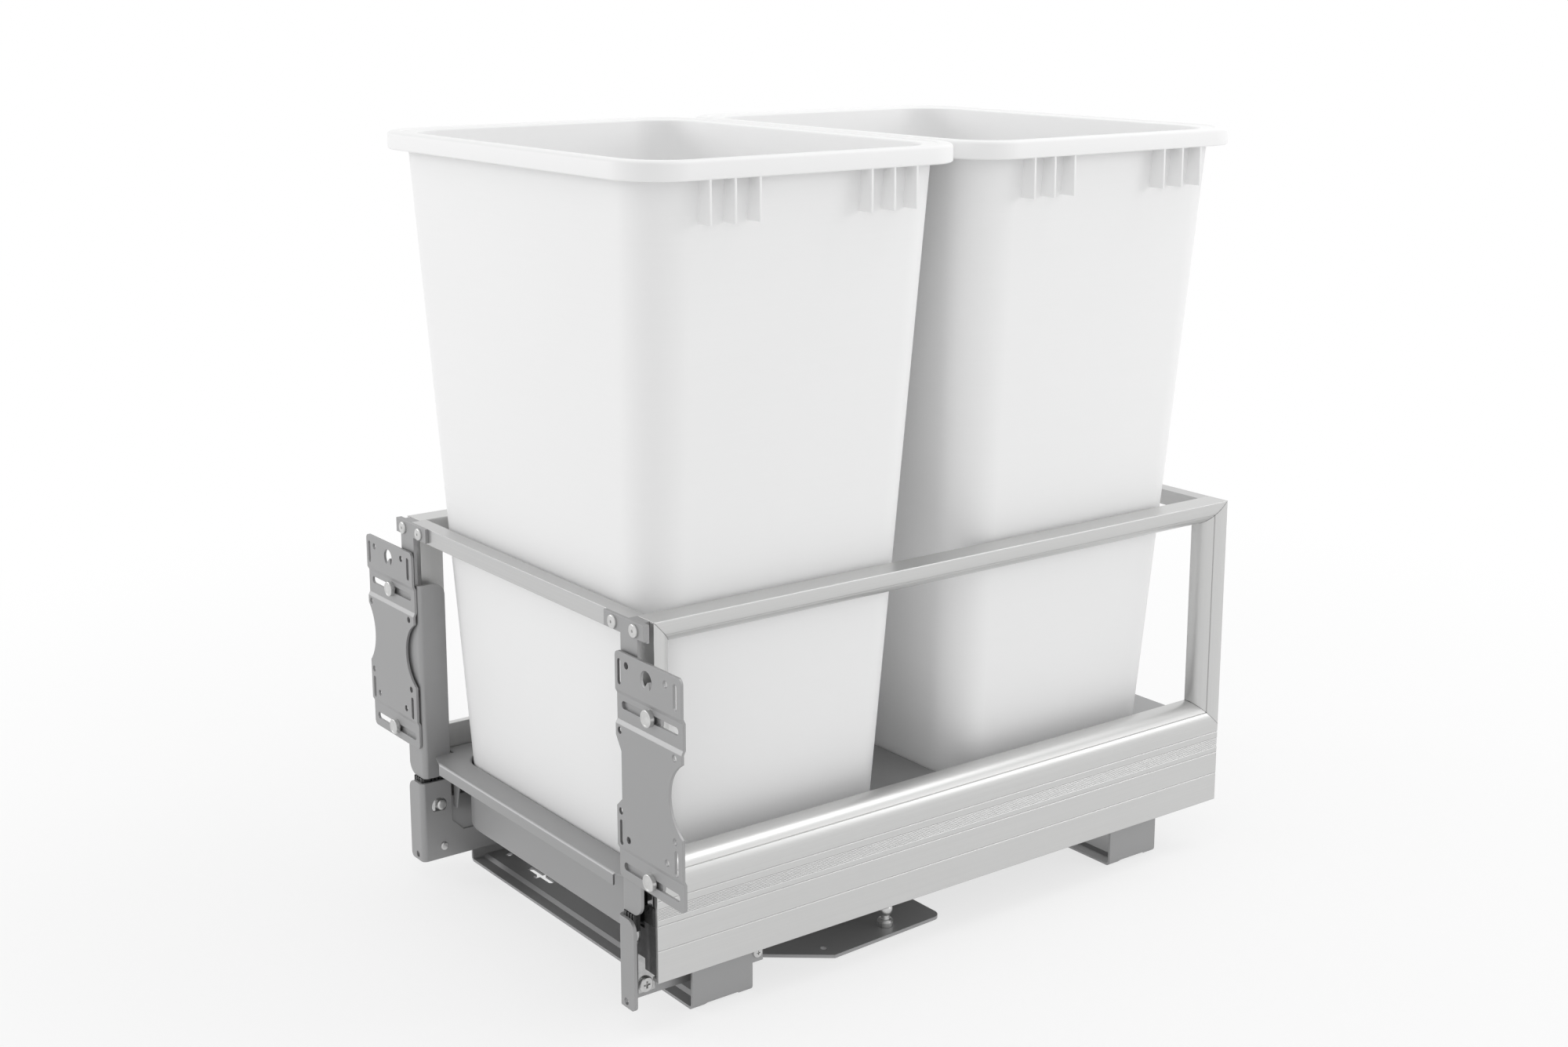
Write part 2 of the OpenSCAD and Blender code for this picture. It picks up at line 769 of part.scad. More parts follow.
// A ball cage: a thin channel between two members, with a row of balls along each flange
module ball_cage(web_x, row_x, half, y0) {
    ball_z = half - member_t - race / 2;
    pitch = cage_len / ball_count;
    bright_steel() {
        along_y(y0, y0 + cage_len) translate([0, slide_z]) {
            span(web_x, web_x + cage_t, -ball_z, ball_z);
            for (s = [0, 1]) mirror([0, s])
                span(web_x, row_x + ball_d / 2, ball_z - cage_t / 2, ball_z + cage_t / 2);
        }
        for (i = [0 : ball_count - 1], s = [-1, 1])
            translate([row_x, y0 + (i + 0.5) * pitch, slide_z + s * ball_z]) sphere(d = ball_d);
    }
}

module outer_ball_cage()
    ball_cage(slide_x + member_t + 0.4, (middle_x + tip_x) / 2, fixed_half, cage_y);

module inner_ball_cage()
    ball_cage(middle_x + member_t + 0.4, (inner_x + tip_x) / 2, middle_half, inner_cage_y);

// Front brackets: bent sheet, a strip across the front and a flange along the bins
module bracket_bend(front, back, out) {
    span(bracket_in + bend_r, out, front, front + bracket_t);
    span(bracket_in, flange_x, front + bend_r, back);
    translate([bracket_in + bend_r, front + bend_r]) quarter_bend(bend_r, bracket_t);
}

module upper_bracket()
    grey_steel() difference() {
        union() {
            intersection() {
                along_z(upper_foot, frame_top) bracket_bend(bracket_front, flange_back, strip_out);
                union() {
                    along_x(bracket_in - overshoot, bracket_in + bend_r + overshoot) upper_flange_outline();
                    along_y(bracket_front - overshoot, bracket_back + overshoot) upper_strip_outline();
                }
            }
            along_y(bracket_front, bracket_back) {
                span(ear_in, ear_out, frame_top - ear_h, frame_top);
                for (z = knob_zs) {
                    span(strip_out - overshoot, plate_x, z - lug_r, z + lug_r);
                    translate([plate_x, z]) circle(lug_r);
                }
            }
        }
        for (x = ear_screw_xs)
            rod_y(bracket_front - overshoot, bracket_back + overshoot, x, ear_screw_z, ear_screw_r + fit);
        for (z = knob_zs)
            rod_y(bracket_front - overshoot, bracket_back + overshoot, plate_x, z, knob_shank_r + fit);
    }

module upper_flange_outline() {
    top = knob_zs[1] + lug_r;
    span(bracket_front, flange_back, upper_foot, top - flange_r);
    span(bracket_front, flange_back - flange_r, upper_foot, top);
    translate([flange_back - flange_r, top - flange_r]) circle(flange_r);
}

module upper_strip_outline() {
    r = 10;
    span(bracket_in + bend_r, strip_out, upper_foot + r, frame_top);
    span(bracket_in + bend_r, strip_out - r, upper_foot, frame_top);
    translate([strip_out - r, upper_foot + r]) circle(r);
}

// The lower bracket's flange runs back as a foot, with a second sheet behind its notch
module lower_bracket()
    grey_steel() difference() {
        union() {
            intersection() {
                along_z(lower_foot, lower_top) bracket_bend(lower_front, leg_back, lower_out);
                union() {
                    along_x(bracket_in - overshoot, bracket_in + bend_r + overshoot) lower_flange_outline();
                    along_y(lower_front - overshoot, lower_back + overshoot) lower_strip_outline();
                }
            }
            box(flange_x - bracket_t / 2, flange_x + clip_t, flange_back + fit, backing_back,
                backing_foot, backing_top);
        }
        rod_y(lower_front - overshoot, lower_back + overshoot, lower_out - strip_hole_in,
              lower_foot + strip_hole_up, strip_hole_r);
        along_x(bracket_in - overshoot, flange_x + overshoot)
            translate([cam_y, cam_z]) difference() {
                circle(cam_r);
                span(-cam_r, cam_r, -cam_r, -cam_r * 0.7);
            }
        rod_x(bracket_in - overshoot, flange_x + overshoot, clamp_y, clamp_z, clamp_r + fit);
    }

module lower_flange_outline() {
    notch = 10;
    polygon([[lower_front, lower_foot], [leg_back, lower_foot], [leg_back, leg_top],
             [flange_back + notch, leg_top], [flange_back, leg_top + notch],
             [flange_back, lower_top], [lower_front, lower_top]]);
}

module lower_strip_outline() {
    top_r = 8;
    foot_r = 4;
    span(bracket_in + bend_r, lower_out, lower_foot + foot_r, lower_top - top_r);
    span(bracket_in + bend_r, lower_out - top_r, lower_foot, lower_top);
    span(lower_out - top_r - overshoot, lower_out - foot_r, lower_foot, lower_foot + foot_r + overshoot);
    translate([lower_out - foot_r, lower_foot + foot_r]) circle(foot_r);
    translate([lower_out - top_r, lower_top - top_r]) circle(top_r);
}

// Height adjuster: a toothed angle inside the bend of both brackets, seen in the gap between them
module adjuster_outline(front) {
    front_end = lower_out - 4;
    back_end = flange_back - 5;
    inner = bracket_back + adjuster_t;
    difference() {
        polygon([[bracket_in + bend_r, front], [front_end, front], [front_end, inner],
                 [flange_x + adjuster_t, inner], [flange_x + adjuster_t, back_end],
                 [flange_x, back_end], [flange_x, front + bend_r - bracket_t]]);
        for (x = [bracket_in + bend_r + tooth_pitch : tooth_pitch : front_end - tooth_gap])
            span(x, x + tooth_gap, front - overshoot, bracket_back + adjuster_t / 2);
        for (y = [front + bend_r + tooth_pitch : tooth_pitch : back_end - tooth_gap])
            span(flange_x - overshoot, flange_x + adjuster_t / 2, y, y + tooth_gap);
    }
}

module height_adjuster()
    dark_steel() {
        along_z(adjuster_foot, upper_foot - fit) adjuster_outline(lower_back);
        along_z(upper_foot - fit, adjuster_top) adjuster_outline(bracket_back);
    }

// Front clip: a bent sheet that ties the lower bracket's flange to the bottom rail's wall
module front_clip()
    dark_steel() difference() {
        union() {
            along_z(clip_foot, clip_top) {
                span(clip_face_in, wall_x, clip_y, clip_y + clip_t);
                span(wall_x - clip_t, wall_x, clip_y, clip_back);
            }
            along_z(cam_z - lug_half, lug_top) span(flange_x, clip_face_in + overshoot, clip_y, clip_y + clip_t);
            along_z(clamp_z - 6, lug_top) span(flange_x, flange_x + clip_t, clip_y, flange_back);
        }
        rod_x(flange_x - overshoot, flange_x + clip_t + overshoot, cam_y + clip_t, cam_z, cam_shank_r + fit);
        rod_x(flange_x - overshoot, flange_x + clip_t + overshoot, clamp_y, clamp_z, clamp_r + fit);
    }

module cam_screws()
    bright_steel() both() {
        rod_x(bracket_in - cam_proud, flange_x, cam_y + clip_t, cam_z, cam_r - clip_t - fit);
        rod_x(flange_x - overshoot, flange_x + clip_t + 3, cam_y + clip_t, cam_z, cam_shank_r);
    }

module clamp_screws()
    bright_steel() both() {
        rod_x(bracket_in - clamp_nut_h, bracket_in, clamp_y, clamp_z, clamp_nut_r);
        rod_x(bracket_in - overshoot, flange_x + clip_t, clamp_y, clamp_z, clamp_r);
        rod_x(flange_x + clip_t, flange_x + clip_t + clamp_head_h, clamp_y, clamp_z, clamp_head_r);
    }

module ear_screws()
    bright_steel() both() for (x = ear_screw_xs) {
        rod_y(bracket_front - ear_head_h, bracket_front, x, ear_screw_z, ear_head_r);
        rod_y(bracket_front, x < rail_in ? bracket_back + bar_wall : skin / 2, x, ear_screw_z, ear_screw_r);
    }

module plate_knobs()
    bright_steel() for (z = knob_zs) {
        rod_y(knob_front, band_front, plate_x, z, knob_r);
        rod_y(band_front, bracket_back + 2, plate_x, z, knob_shank_r);
    }

// Door plate, drawn from its lower left corner in the plane of the door
module plate_holes() {
    for (z = [slot_low, slot_high])
        translate([0, z]) slot(slot_end, plate_w - slot_end, slot_w);
    for (x = [5, plate_w - 7], z = [24, plate_h - 23])
        translate([x, z]) rotate(90) slot(0, 18, 4);
    for (x = [13.8, plate_w - 18], z = [30, plate_h - 8])
        translate([x, z]) circle(plate_hole_r);
    for (x = [4.8, plate_w - 8.3], z = [side_hole_low, plate_h - side_hole_drop])
        translate([x, z]) circle(plate_hole_r);
    translate([plate_w / 2 - 1.4, plate_h - 12]) difference() {
        circle(6.7);
        polygon([[-4, -7], [4.4, -7], [3.1, -0.4], [2.1, -0.4]]);
    }
}

// An arc that cuts into the plate's right edge, with its middle at the origin
module waist_arc(depth, half) {
    r = (half * half + depth * depth) / (2 * depth);
    translate([r - depth, 0]) circle(r);
}

// The waists: an arc on the right, on the left a shallower arc or a straight cut with sloped ends
module plate_waists(round_left) {
    middle = plate_h / 2 - 3;
    waist = 7.6;
    translate([plate_w, middle]) waist_arc(15, 25.5);
    if (round_left)
        translate([0, middle + 2]) mirror([1, 0]) waist_arc(10, 24);
    else
        translate([0, middle]) polygon([[-1, -27], [0, -26], [waist, -19], [waist, 12], [0, 24], [-1, 25]]);
}

module plate_outline(round_left)
    difference() {
        translate([plate_w / 2, plate_h / 2]) round_rect(plate_w, plate_h, plate_corner);
        plate_waists(round_left);
        plate_holes();
    }

// The sheet seen from its edge: two bands are pressed back against the bracket
module plate_edge() {
    bend = 3;
    low = slot_low + 11;
    band = [slot_high - 11, slot_high + 7];
    front = [[band_front, 0], [band_front, low], [plate_front, low + bend], [plate_front, band[0] - bend],
             [band_front, band[0]], [band_front, band[1]], [plate_front, band[1] + bend],
             [plate_front, plate_h]];
    back = [for (i = [len(front) - 1 : -1 : 0]) front[i] + [plate_t, 0]];
    polygon(concat(front, back));
}

module door_plate(x, round_left)
    grey_steel() placed() translate([x - plate_w / 2, 0, plate_z]) intersection() {
        along_y(plate_front - overshoot, band_back + overshoot) plate_outline(round_left);
        along_x(-overshoot, plate_w + overshoot) plate_edge();
    }

floor_bracket_front();
floor_bracket_rear();
left() slide_fixed();  // slide_fixed_left
right() slide_fixed();  // slide_fixed_right
slide_bolts();
damper_plate();
damper_rivets();
ball_stud();
foot_screws();
left() outer_ball_cage();  // outer_ball_cage_left
right() outer_ball_cage();  // outer_ball_cage_right
left() slide_middle();  // slide_middle_left
right() slide_middle();  // slide_middle_right
left() inner_ball_cage();  // inner_ball_cage_left
right() inner_ball_cage();  // inner_ball_cage_right
left() top_rail();  // top_rail_left
right() top_rail();  // top_rail_right
left() front_post();  // front_post_left
right() front_post();  // front_post_right
left() rear_post();  // rear_post_left
right() rear_post();  // rear_post_right
left() bottom_rail();  // bottom_rail_left
right() bottom_rail();  // bottom_rail_right
corner_keys();
front_bar();
rear_bar();
left() bar_end();  // bar_end_left
right() bar_end();  // bar_end_right
tray();
left() upper_bracket();  // upper_bracket_left
right() upper_bracket();  // upper_bracket_right
left() lower_bracket();  // lower_bracket_left
right() lower_bracket();  // lower_bracket_right
left() height_adjuster();  // height_adjuster_left
right() height_adjuster();  // height_adjuster_right
left() front_clip();  // front_clip_left
right() front_clip();  // front_clip_right
cam_screws();
clamp_screws();
ear_screws();
left() plate_knobs();  // plate_knobs_left
right() plate_knobs();  // plate_knobs_right
left() slide_inner();  // slide_inner_left
right() slide_inner();  // slide_inner_right
slide_screws();
door_plate(-plate_x, true);  // door_plate_left
door_plate(plate_x, false);  // door_plate_right
bin_front();
bin_rear();
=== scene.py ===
"""Looks of a pull out frame for two waste bins: bins, tray, fasteners and finishes."""

import json
import logging
import math
from collections.abc import Callable, Iterable, Mapping, Sequence
from dataclasses import dataclass, field
from enum import Enum

import bpy
from mathutils import Matrix, Vector


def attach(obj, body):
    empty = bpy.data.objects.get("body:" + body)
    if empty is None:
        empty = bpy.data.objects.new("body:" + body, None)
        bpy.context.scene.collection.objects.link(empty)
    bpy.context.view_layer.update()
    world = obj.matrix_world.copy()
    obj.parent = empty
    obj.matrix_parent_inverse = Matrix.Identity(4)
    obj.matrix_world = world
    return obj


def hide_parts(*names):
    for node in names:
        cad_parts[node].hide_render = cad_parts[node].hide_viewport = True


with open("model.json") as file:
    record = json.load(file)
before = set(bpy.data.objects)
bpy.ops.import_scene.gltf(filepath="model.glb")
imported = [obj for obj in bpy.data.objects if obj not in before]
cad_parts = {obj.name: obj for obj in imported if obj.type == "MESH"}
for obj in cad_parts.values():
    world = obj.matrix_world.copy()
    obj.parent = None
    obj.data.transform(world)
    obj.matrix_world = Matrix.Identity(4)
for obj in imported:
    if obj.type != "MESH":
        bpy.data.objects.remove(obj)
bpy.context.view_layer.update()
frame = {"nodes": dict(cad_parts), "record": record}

LOG = logging.getLogger("bin_frame")
MM = 0.001  # metres in a millimetre: the sizes here and in the classes are in millimetres
FRONT_Y = -267.7  # the side frames' front, in the CAD's frame
FRAME_DEPTH = 550.0  # the side frames from front to rear
FRAME_TOP = 292.0  # the side frames' top, where the upper mitres start
MOULD_Z = 103.5  # where the lower mitres start, at the side frames' ends
NEAR = 1.0  # within this of an edge, a place counts as on it
LEVEL = 0.01  # within this, two heights count as one
TINY = 1e-6  # in metres, within this two places count as one
UPRIGHT = 0.9  # the least Z in the normal of a level face
ROUND_STEPS = 4  # faces across a rounded edge
SIDES = {"left": -1, "right": 1}
WHITE = (1, 1, 1, 1)

Place = tuple[float, float, float]
Colour = tuple[float, float, float]


def at(x: float, y: float, z: float) -> Vector:
    """A point in metres, from millimetres with Y counted from the side frames' front."""
    return Vector((x, y + FRONT_Y, z)) * MM


class Pick(Enum):
    """What a selection on the bench is made of."""

    VERTEX = "VERT"
    EDGE = "EDGE"
    FACE = "FACE"


class Facing(Enum):
    """The way that the head of a fastener looks."""

    TO_LEFT = Vector((-1, 0, 0))
    TO_RIGHT = Vector((1, 0, 0))
    TO_DOOR = Vector((0, -1, 0))


class Recess(Enum):
    """The drive in a screw's head."""

    NONE = 0
    HEXAGON = 1
    CROSS = 2


@dataclass(frozen=True)
class Ring:
    """One level of a lofted form, in millimetres: its half sizes across and along, and its height."""

    half_x: float
    half_y: float
    z: float


def round_edge(ring_at: Callable[[float, float], Ring], z: float, inset: float, radius: float,
               start: float, end: float) -> list[Ring]:
    """Rings round an edge of a lofted form.

    Args:
        ring_at: Gives the outline at a height and an inset.
        z: The height of the round's middle.
        inset: The inset of the round's middle.
        radius: The radius of the round.
        start: The angle that it starts at, in degrees, from straight out.
        end: The angle that it ends at.

    Returns:
        The rings, from start to end.
    """
    angles = [math.radians(start + (end - start) * i / ROUND_STEPS) for i in range(ROUND_STEPS + 1)]
    return [ring_at(z + radius * math.sin(a), inset - radius * math.cos(a)) for a in angles]


class Workpiece:
    """One mesh on the bench, shaped in edit mode with Blender's operators."""

    def __init__(self, name: str) -> None:
        """Takes over the primitive that was just added.

        Args:
            name: The name of the object and of its mesh.
        """
        bpy.ops.object.transform_apply(location=True, rotation=True, scale=True)
        self.obj: bpy.types.Object = bpy.context.object
        self.obj.name = self.obj.data.name = name

    @staticmethod
    def clear_bench() -> None:
        """Deselects everything, in object mode."""
        if bpy.context.object and bpy.context.object.mode != "OBJECT":
            bpy.ops.object.mode_set(mode="OBJECT")
        bpy.ops.object.select_all(action="DESELECT")

    @classmethod
    def plate(cls, name: str, half_x: float, half_y: float, centre: Vector) -> "Workpiece":
        """A flat rectangle to start from.

        Args:
            name: The name of the piece.
            half_x: Half its width, in millimetres.
            half_y: Half its depth, in millimetres.
            centre: Its middle, in metres.

        Returns:
            The new piece.
        """
        cls.clear_bench()
        bpy.ops.mesh.primitive_plane_add(size=2 * MM, location=centre)
        bpy.context.object.scale = (half_x, half_y, 1)
        return cls(name)

    @classmethod
    def block(cls, name: str, low: Vector, high: Vector) -> "Workpiece":
        """A block to start from.

        Args:
            name: The name of the piece.
            low: Its lowest corner, in metres.
            high: Its highest corner, in metres.

        Returns:
            The new piece.
        """
        cls.clear_bench()
        bpy.ops.mesh.primitive_cube_add(size=1, location=(low + high) / 2)
        bpy.context.object.scale = high - low
        return cls(name)

    @classmethod
    def round_bar(cls, name: str, radius: float, height: float, sides: int = 40) -> "Workpiece":
        """An upright round bar on the origin, to start from.

        Args:
            name: The name of the piece.
            radius: Its radius, in millimetres.
            height: Its height, in millimetres.
            sides: How many flats make it round.

        Returns:
            The new piece.
        """
        cls.clear_bench()
        bpy.ops.mesh.primitive_cylinder_add(
            vertices=sides, radius=radius * MM, depth=height * MM,
            location=(0, 0, height / 2 * MM))
        return cls(name)

    def rest(self) -> bpy.types.Object:
        """Leaves edit mode and selects this piece alone.

        Returns:
            Its object.
        """
        self.clear_bench()
        self.obj.select_set(True)
        bpy.context.view_layer.objects.active = self.obj
        return self.obj

    def pick(self, kind: Pick, test: Callable[[Vector, Vector], bool]) -> None:
        """Selects what passes a test, and goes into edit mode.

        Args:
            kind: Vertices, edges or faces.
            test: Takes the place and the normal of an element, or an edge's two ends, in metres.
        """
        mesh = self.rest().data
        bpy.ops.object.mode_set(mode="EDIT")
        bpy.ops.mesh.select_mode(type=kind.value)
        bpy.ops.mesh.select_all(action="DESELECT")
        bpy.ops.object.mode_set(mode="OBJECT")
        if kind is Pick.FACE:
            for face in mesh.polygons:
                face.select = test(face.center, face.normal)
        elif kind is Pick.EDGE:
            for edge in mesh.edges:
                edge.select = test(*(mesh.vertices[i].co for i in edge.vertices))
        else:
            for vertex in mesh.vertices:
                vertex.select = test(vertex.co, vertex.normal)
        bpy.ops.object.mode_set(mode="EDIT")

    def pick_all(self, kind: Pick = Pick.VERTEX) -> None:
        """Selects the whole mesh, and goes into edit mode."""
        self.pick(kind, lambda first, second: True)

    def extrude(self, x: float = 0.0, y: float = 0.0, z: float = 0.0) -> None:
        """Extrudes the selection by a step in millimetres."""
        step = (x * MM, y * MM, z * MM)
        bpy.ops.mesh.extrude_region_move(TRANSFORM_OT_translate={"value": step})

    def move(self, x: float = 0.0, y: float = 0.0, z: float = 0.0) -> None:
        """Moves the selection by a step in millimetres."""
        bpy.ops.transform.translate(value=(x * MM, y * MM, z * MM))

    def resize(self, x: float, y: float, z: float, centre: Vector) -> None:
        """Resizes the selection about a point in metres."""
        bpy.ops.transform.resize(value=(x, y, z), center_override=centre)

    def bevel(self, width: float, segments: int, corners: bool = False) -> None:
        """Rounds the selected edges, or a flat plate's corners, by a width in millimetres."""
        affect = "VERTICES" if corners else "EDGES"
        bpy.ops.mesh.bevel(offset=width * MM, segments=segments, affect=affect)

    def loft(self, rings: Sequence[Ring], centre: Vector) -> None:
        """Carries the selected cap through a row of rings.

        Args:
            rings: The ring that the cap is at, and the rings it goes to.
            centre: A point on the upright middle line, in metres.
        """
        for here, there in zip(rings, rings[1:]):
            self.extrude(z=there.z - here.z)
            middle = Vector((centre.x, centre.y, there.z * MM))
            self.resize(there.half_x / here.half_x, there.half_y / here.half_y, 1, middle)

    def modify(self, kind: str, **settings: object) -> None:
        """Adds a modifier with its settings and applies it.

        Args:
            kind: The modifier's type.
            settings: Its properties.
        """
        modifier = self.rest().modifiers.new(kind.title(), kind)
        for key, value in settings.items():
            setattr(modifier, key, value)
        bpy.ops.object.modifier_apply(modifier=modifier.name)

    def merge(self) -> None:
        """Merges doubles and turns the faces outwards."""
        self.pick_all()
        bpy.ops.mesh.remove_doubles(threshold=LEVEL * MM)
        bpy.ops.mesh.normals_make_consistent(inside=False)

    def smooth(self, degrees: float = 35.0) -> None:
        """Shades the piece smooth up to an angle between faces."""
        self.rest()
        bpy.ops.object.shade_smooth_by_angle(angle=math.radians(degrees))

    def copy(self, name: str, place: Matrix) -> "Workpiece":
        """A copy with a mesh of its own, set in its place.

        Args:
            name: The name of the copy.
            place: Where it goes, in metres.

        Returns:
            The copy.
        """
        twin = self.rest().copy()
        twin.data = self.obj.data.copy()
        bpy.context.collection.objects.link(twin)
        self.clear_bench()
        twin.select_set(True)
        bpy.context.view_layer.objects.active = twin
        twin.matrix_world = place
        return Workpiece(name)

    def join(self, others: Iterable["Workpiece"]) -> None:
        """Takes other pieces into this one.

        Args:
            others: The pieces.
        """
        self.rest()
        for other in others:
            other.obj.select_set(True)
        bpy.ops.object.join()

    def discard(self) -> None:
        """Takes the piece off the bench."""
        mesh = self.rest().data
        bpy.data.objects.remove(self.obj)
        bpy.data.meshes.remove(mesh)


class Value:
    """A number, colour or shader among nodes, so that shader maths reads as Python."""

    def __init__(self, nodes: "Nodes", socket: bpy.types.NodeSocket) -> None:
        """Wraps an output socket of a node."""
        self.nodes = nodes
        self.socket = socket

    def _math(self, operation: str, *values: "Value | float") -> "Value":
        """A Math node on some values."""
        return self.nodes.value("ShaderNodeMath", {"operation": operation}, dict(enumerate(values)))

    def __add__(self, other: "Value | float") -> "Value":
        """The sum of two values."""
        return self._math("ADD", self, other)

    __radd__ = __add__

    def __mul__(self, other: "Value | float") -> "Value":
        """The product of two values."""
        return self._math("MULTIPLY", self, other)

    __rmul__ = __mul__

    def __sub__(self, other: "Value | float") -> "Value":
        """The difference of two values."""
        return self._math("SUBTRACT", self, other)

    def __rsub__(self, other: "Value | float") -> "Value":
        """A number less this value."""
        return self._math("SUBTRACT", other, self)

    def size(self) -> "Value":
        """The value without its sign."""
        return self._math("ABSOLUTE", self)

    def smaller(self, other: "Value") -> "Value":
        """The smaller of two values."""
        return self._math("MINIMUM", self, other)

    def between(self, low: float, high: float) -> "Value":
        """The value spread from 0 at low to 1 at high, with soft ends."""
        return self.nodes.value(
            "ShaderNodeMapRange", {"interpolation_type": "SMOOTHSTEP"},
            {"Value": self, "From Min": low, "From Max": high})


Input = Value | float | Sequence[float]
Settings = Mapping[str, object]
Sockets = Mapping[str | int, Input]


class Nodes:
    """The nodes of a material or of the world."""

    def __init__(self, tree: bpy.types.NodeTree) -> None:
        """Takes over a node tree."""
        self.tree = tree

    def node(self, kind: str, settings: Settings, sockets: Sockets) -> bpy.types.Node:
        """Adds a node.

        Args:
            kind: The node's type.
            settings: Its properties, which are set first.
            sockets: The values or links of its inputs, by name or number.

        Returns:
            The node.
        """
        node = self.tree.nodes.new(kind)
        for key, value in settings.items():
            setattr(node, key, value)
        self.feed(node, sockets)
        return node

    def feed(self, node: bpy.types.Node, sockets: Sockets) -> None:
        """Sets or links inputs of a node.

        Args:
            node: The node.
            sockets: The values or links, by the inputs' names or numbers.
        """
        for key, value in sockets.items():
            if isinstance(value, Value):
                self.tree.links.new(value.socket, node.inputs[key])
            else:
                node.inputs[key].default_value = value

    def value(self, kind: str, settings: Settings, sockets: Sockets, output: str | int = 0) -> Value:
        """Adds a node and gives one of its outputs."""
        return Value(self, self.node(kind, settings, sockets).outputs[output])

    def shows_white(self) -> Value:
        """The rays that see a white background: the camera's, mirrored ones and those through glass.

        Returns:
            1 on such a ray, 0 on the rest.
        """
        rays = ("Is Camera Ray", "Is Glossy Ray", "Is Transmission Ray")
        camera, mirrored, through = (self.value("ShaderNodeLightPath", {}, {}, ray) for ray in rays)
        return camera + mirrored + through


class Shader(Nodes):
    """The nodes of one material, round its Principled shader."""

    COLOUR_A, COLOUR_B, MIXED_COLOUR = 6, 7, 2  # a Mix node's colour sockets, by number
    EDGE_SAMPLES = 6
    EVEN = (1, 1, 1)

    def __init__(self, name: str) -> None:
        """Starts a material.

        Args:
            name: The material's name.
        """
        self.material = bpy.data.materials.new(name)
        self.material.use_nodes = True
        super().__init__(self.material.node_tree)
        self.surface = self.tree.nodes["Principled BSDF"]

    def place(self, scale: Sequence[float]) -> Value:
        """Object coordinates, stretched along each axis."""
        point = self.value("ShaderNodeTexCoord", {}, {}, "Object")
        return self.value("ShaderNodeMapping", {}, {"Vector": point, "Scale": scale})

    def noise(self, place: Value, scale: float, detail: float = 3.0) -> Value:
        """Soft noise from 0 to 1 over a place."""
        sockets = {"Vector": place, "Scale": scale, "Detail": detail}
        return self.value("ShaderNodeTexNoise", {}, sockets, "Fac")

    def tint(self, factor: Value, low: "Value | Colour", high: "Value | Colour") -> Value:
        """A colour from low to high as a factor goes from 0 to 1.

        Args:
            factor: The share of high.
            low: The colour at 0.
            high: The colour at 1.

        Returns:
            The mixed colour.
        """
        start, end = (c if isinstance(c, Value) else (*c, 1) for c in (low, high))
        sockets = {0: factor, self.COLOUR_A: start, self.COLOUR_B: end}
        return self.value("ShaderNodeMix", {"data_type": "RGBA"}, sockets, self.MIXED_COLOUR)

    def relief(self, height: Value, depth: float, edge: float = 0.0) -> Value:
        """A bumped normal, on edges that a small round softens.

        Args:
            height: The height from 0 to 1.
            depth: How deep 1 is, in millimetres.
            edge: The radius of the softened edges, in millimetres.

        Returns:
            The normal.
        """
        sockets: dict[str | int, Input] = {
            "Height": height, "Distance": depth * MM, "Strength": 1.0}
        if edge:
            sockets["Normal"] = self.value(
                "ShaderNodeBevel", {"samples": self.EDGE_SAMPLES}, {"Radius": edge * MM})
        return self.value("ShaderNodeBump", {}, sockets)

    def finish(self, sockets: Mapping[str | int, Input]) -> bpy.types.Material:
        """Feeds the Principled shader and gives the material."""
        self.feed(self.surface, sockets)
        return self.material


class Grain(Enum):
    """The way that drawn metal's fine lines run."""

    ALONG_WIDTH = (6.0, 900.0, 900.0)
    ALONG_DEPTH = (900.0, 6.0, 900.0)
    ALONG_HEIGHT = (900.0, 900.0, 6.0)


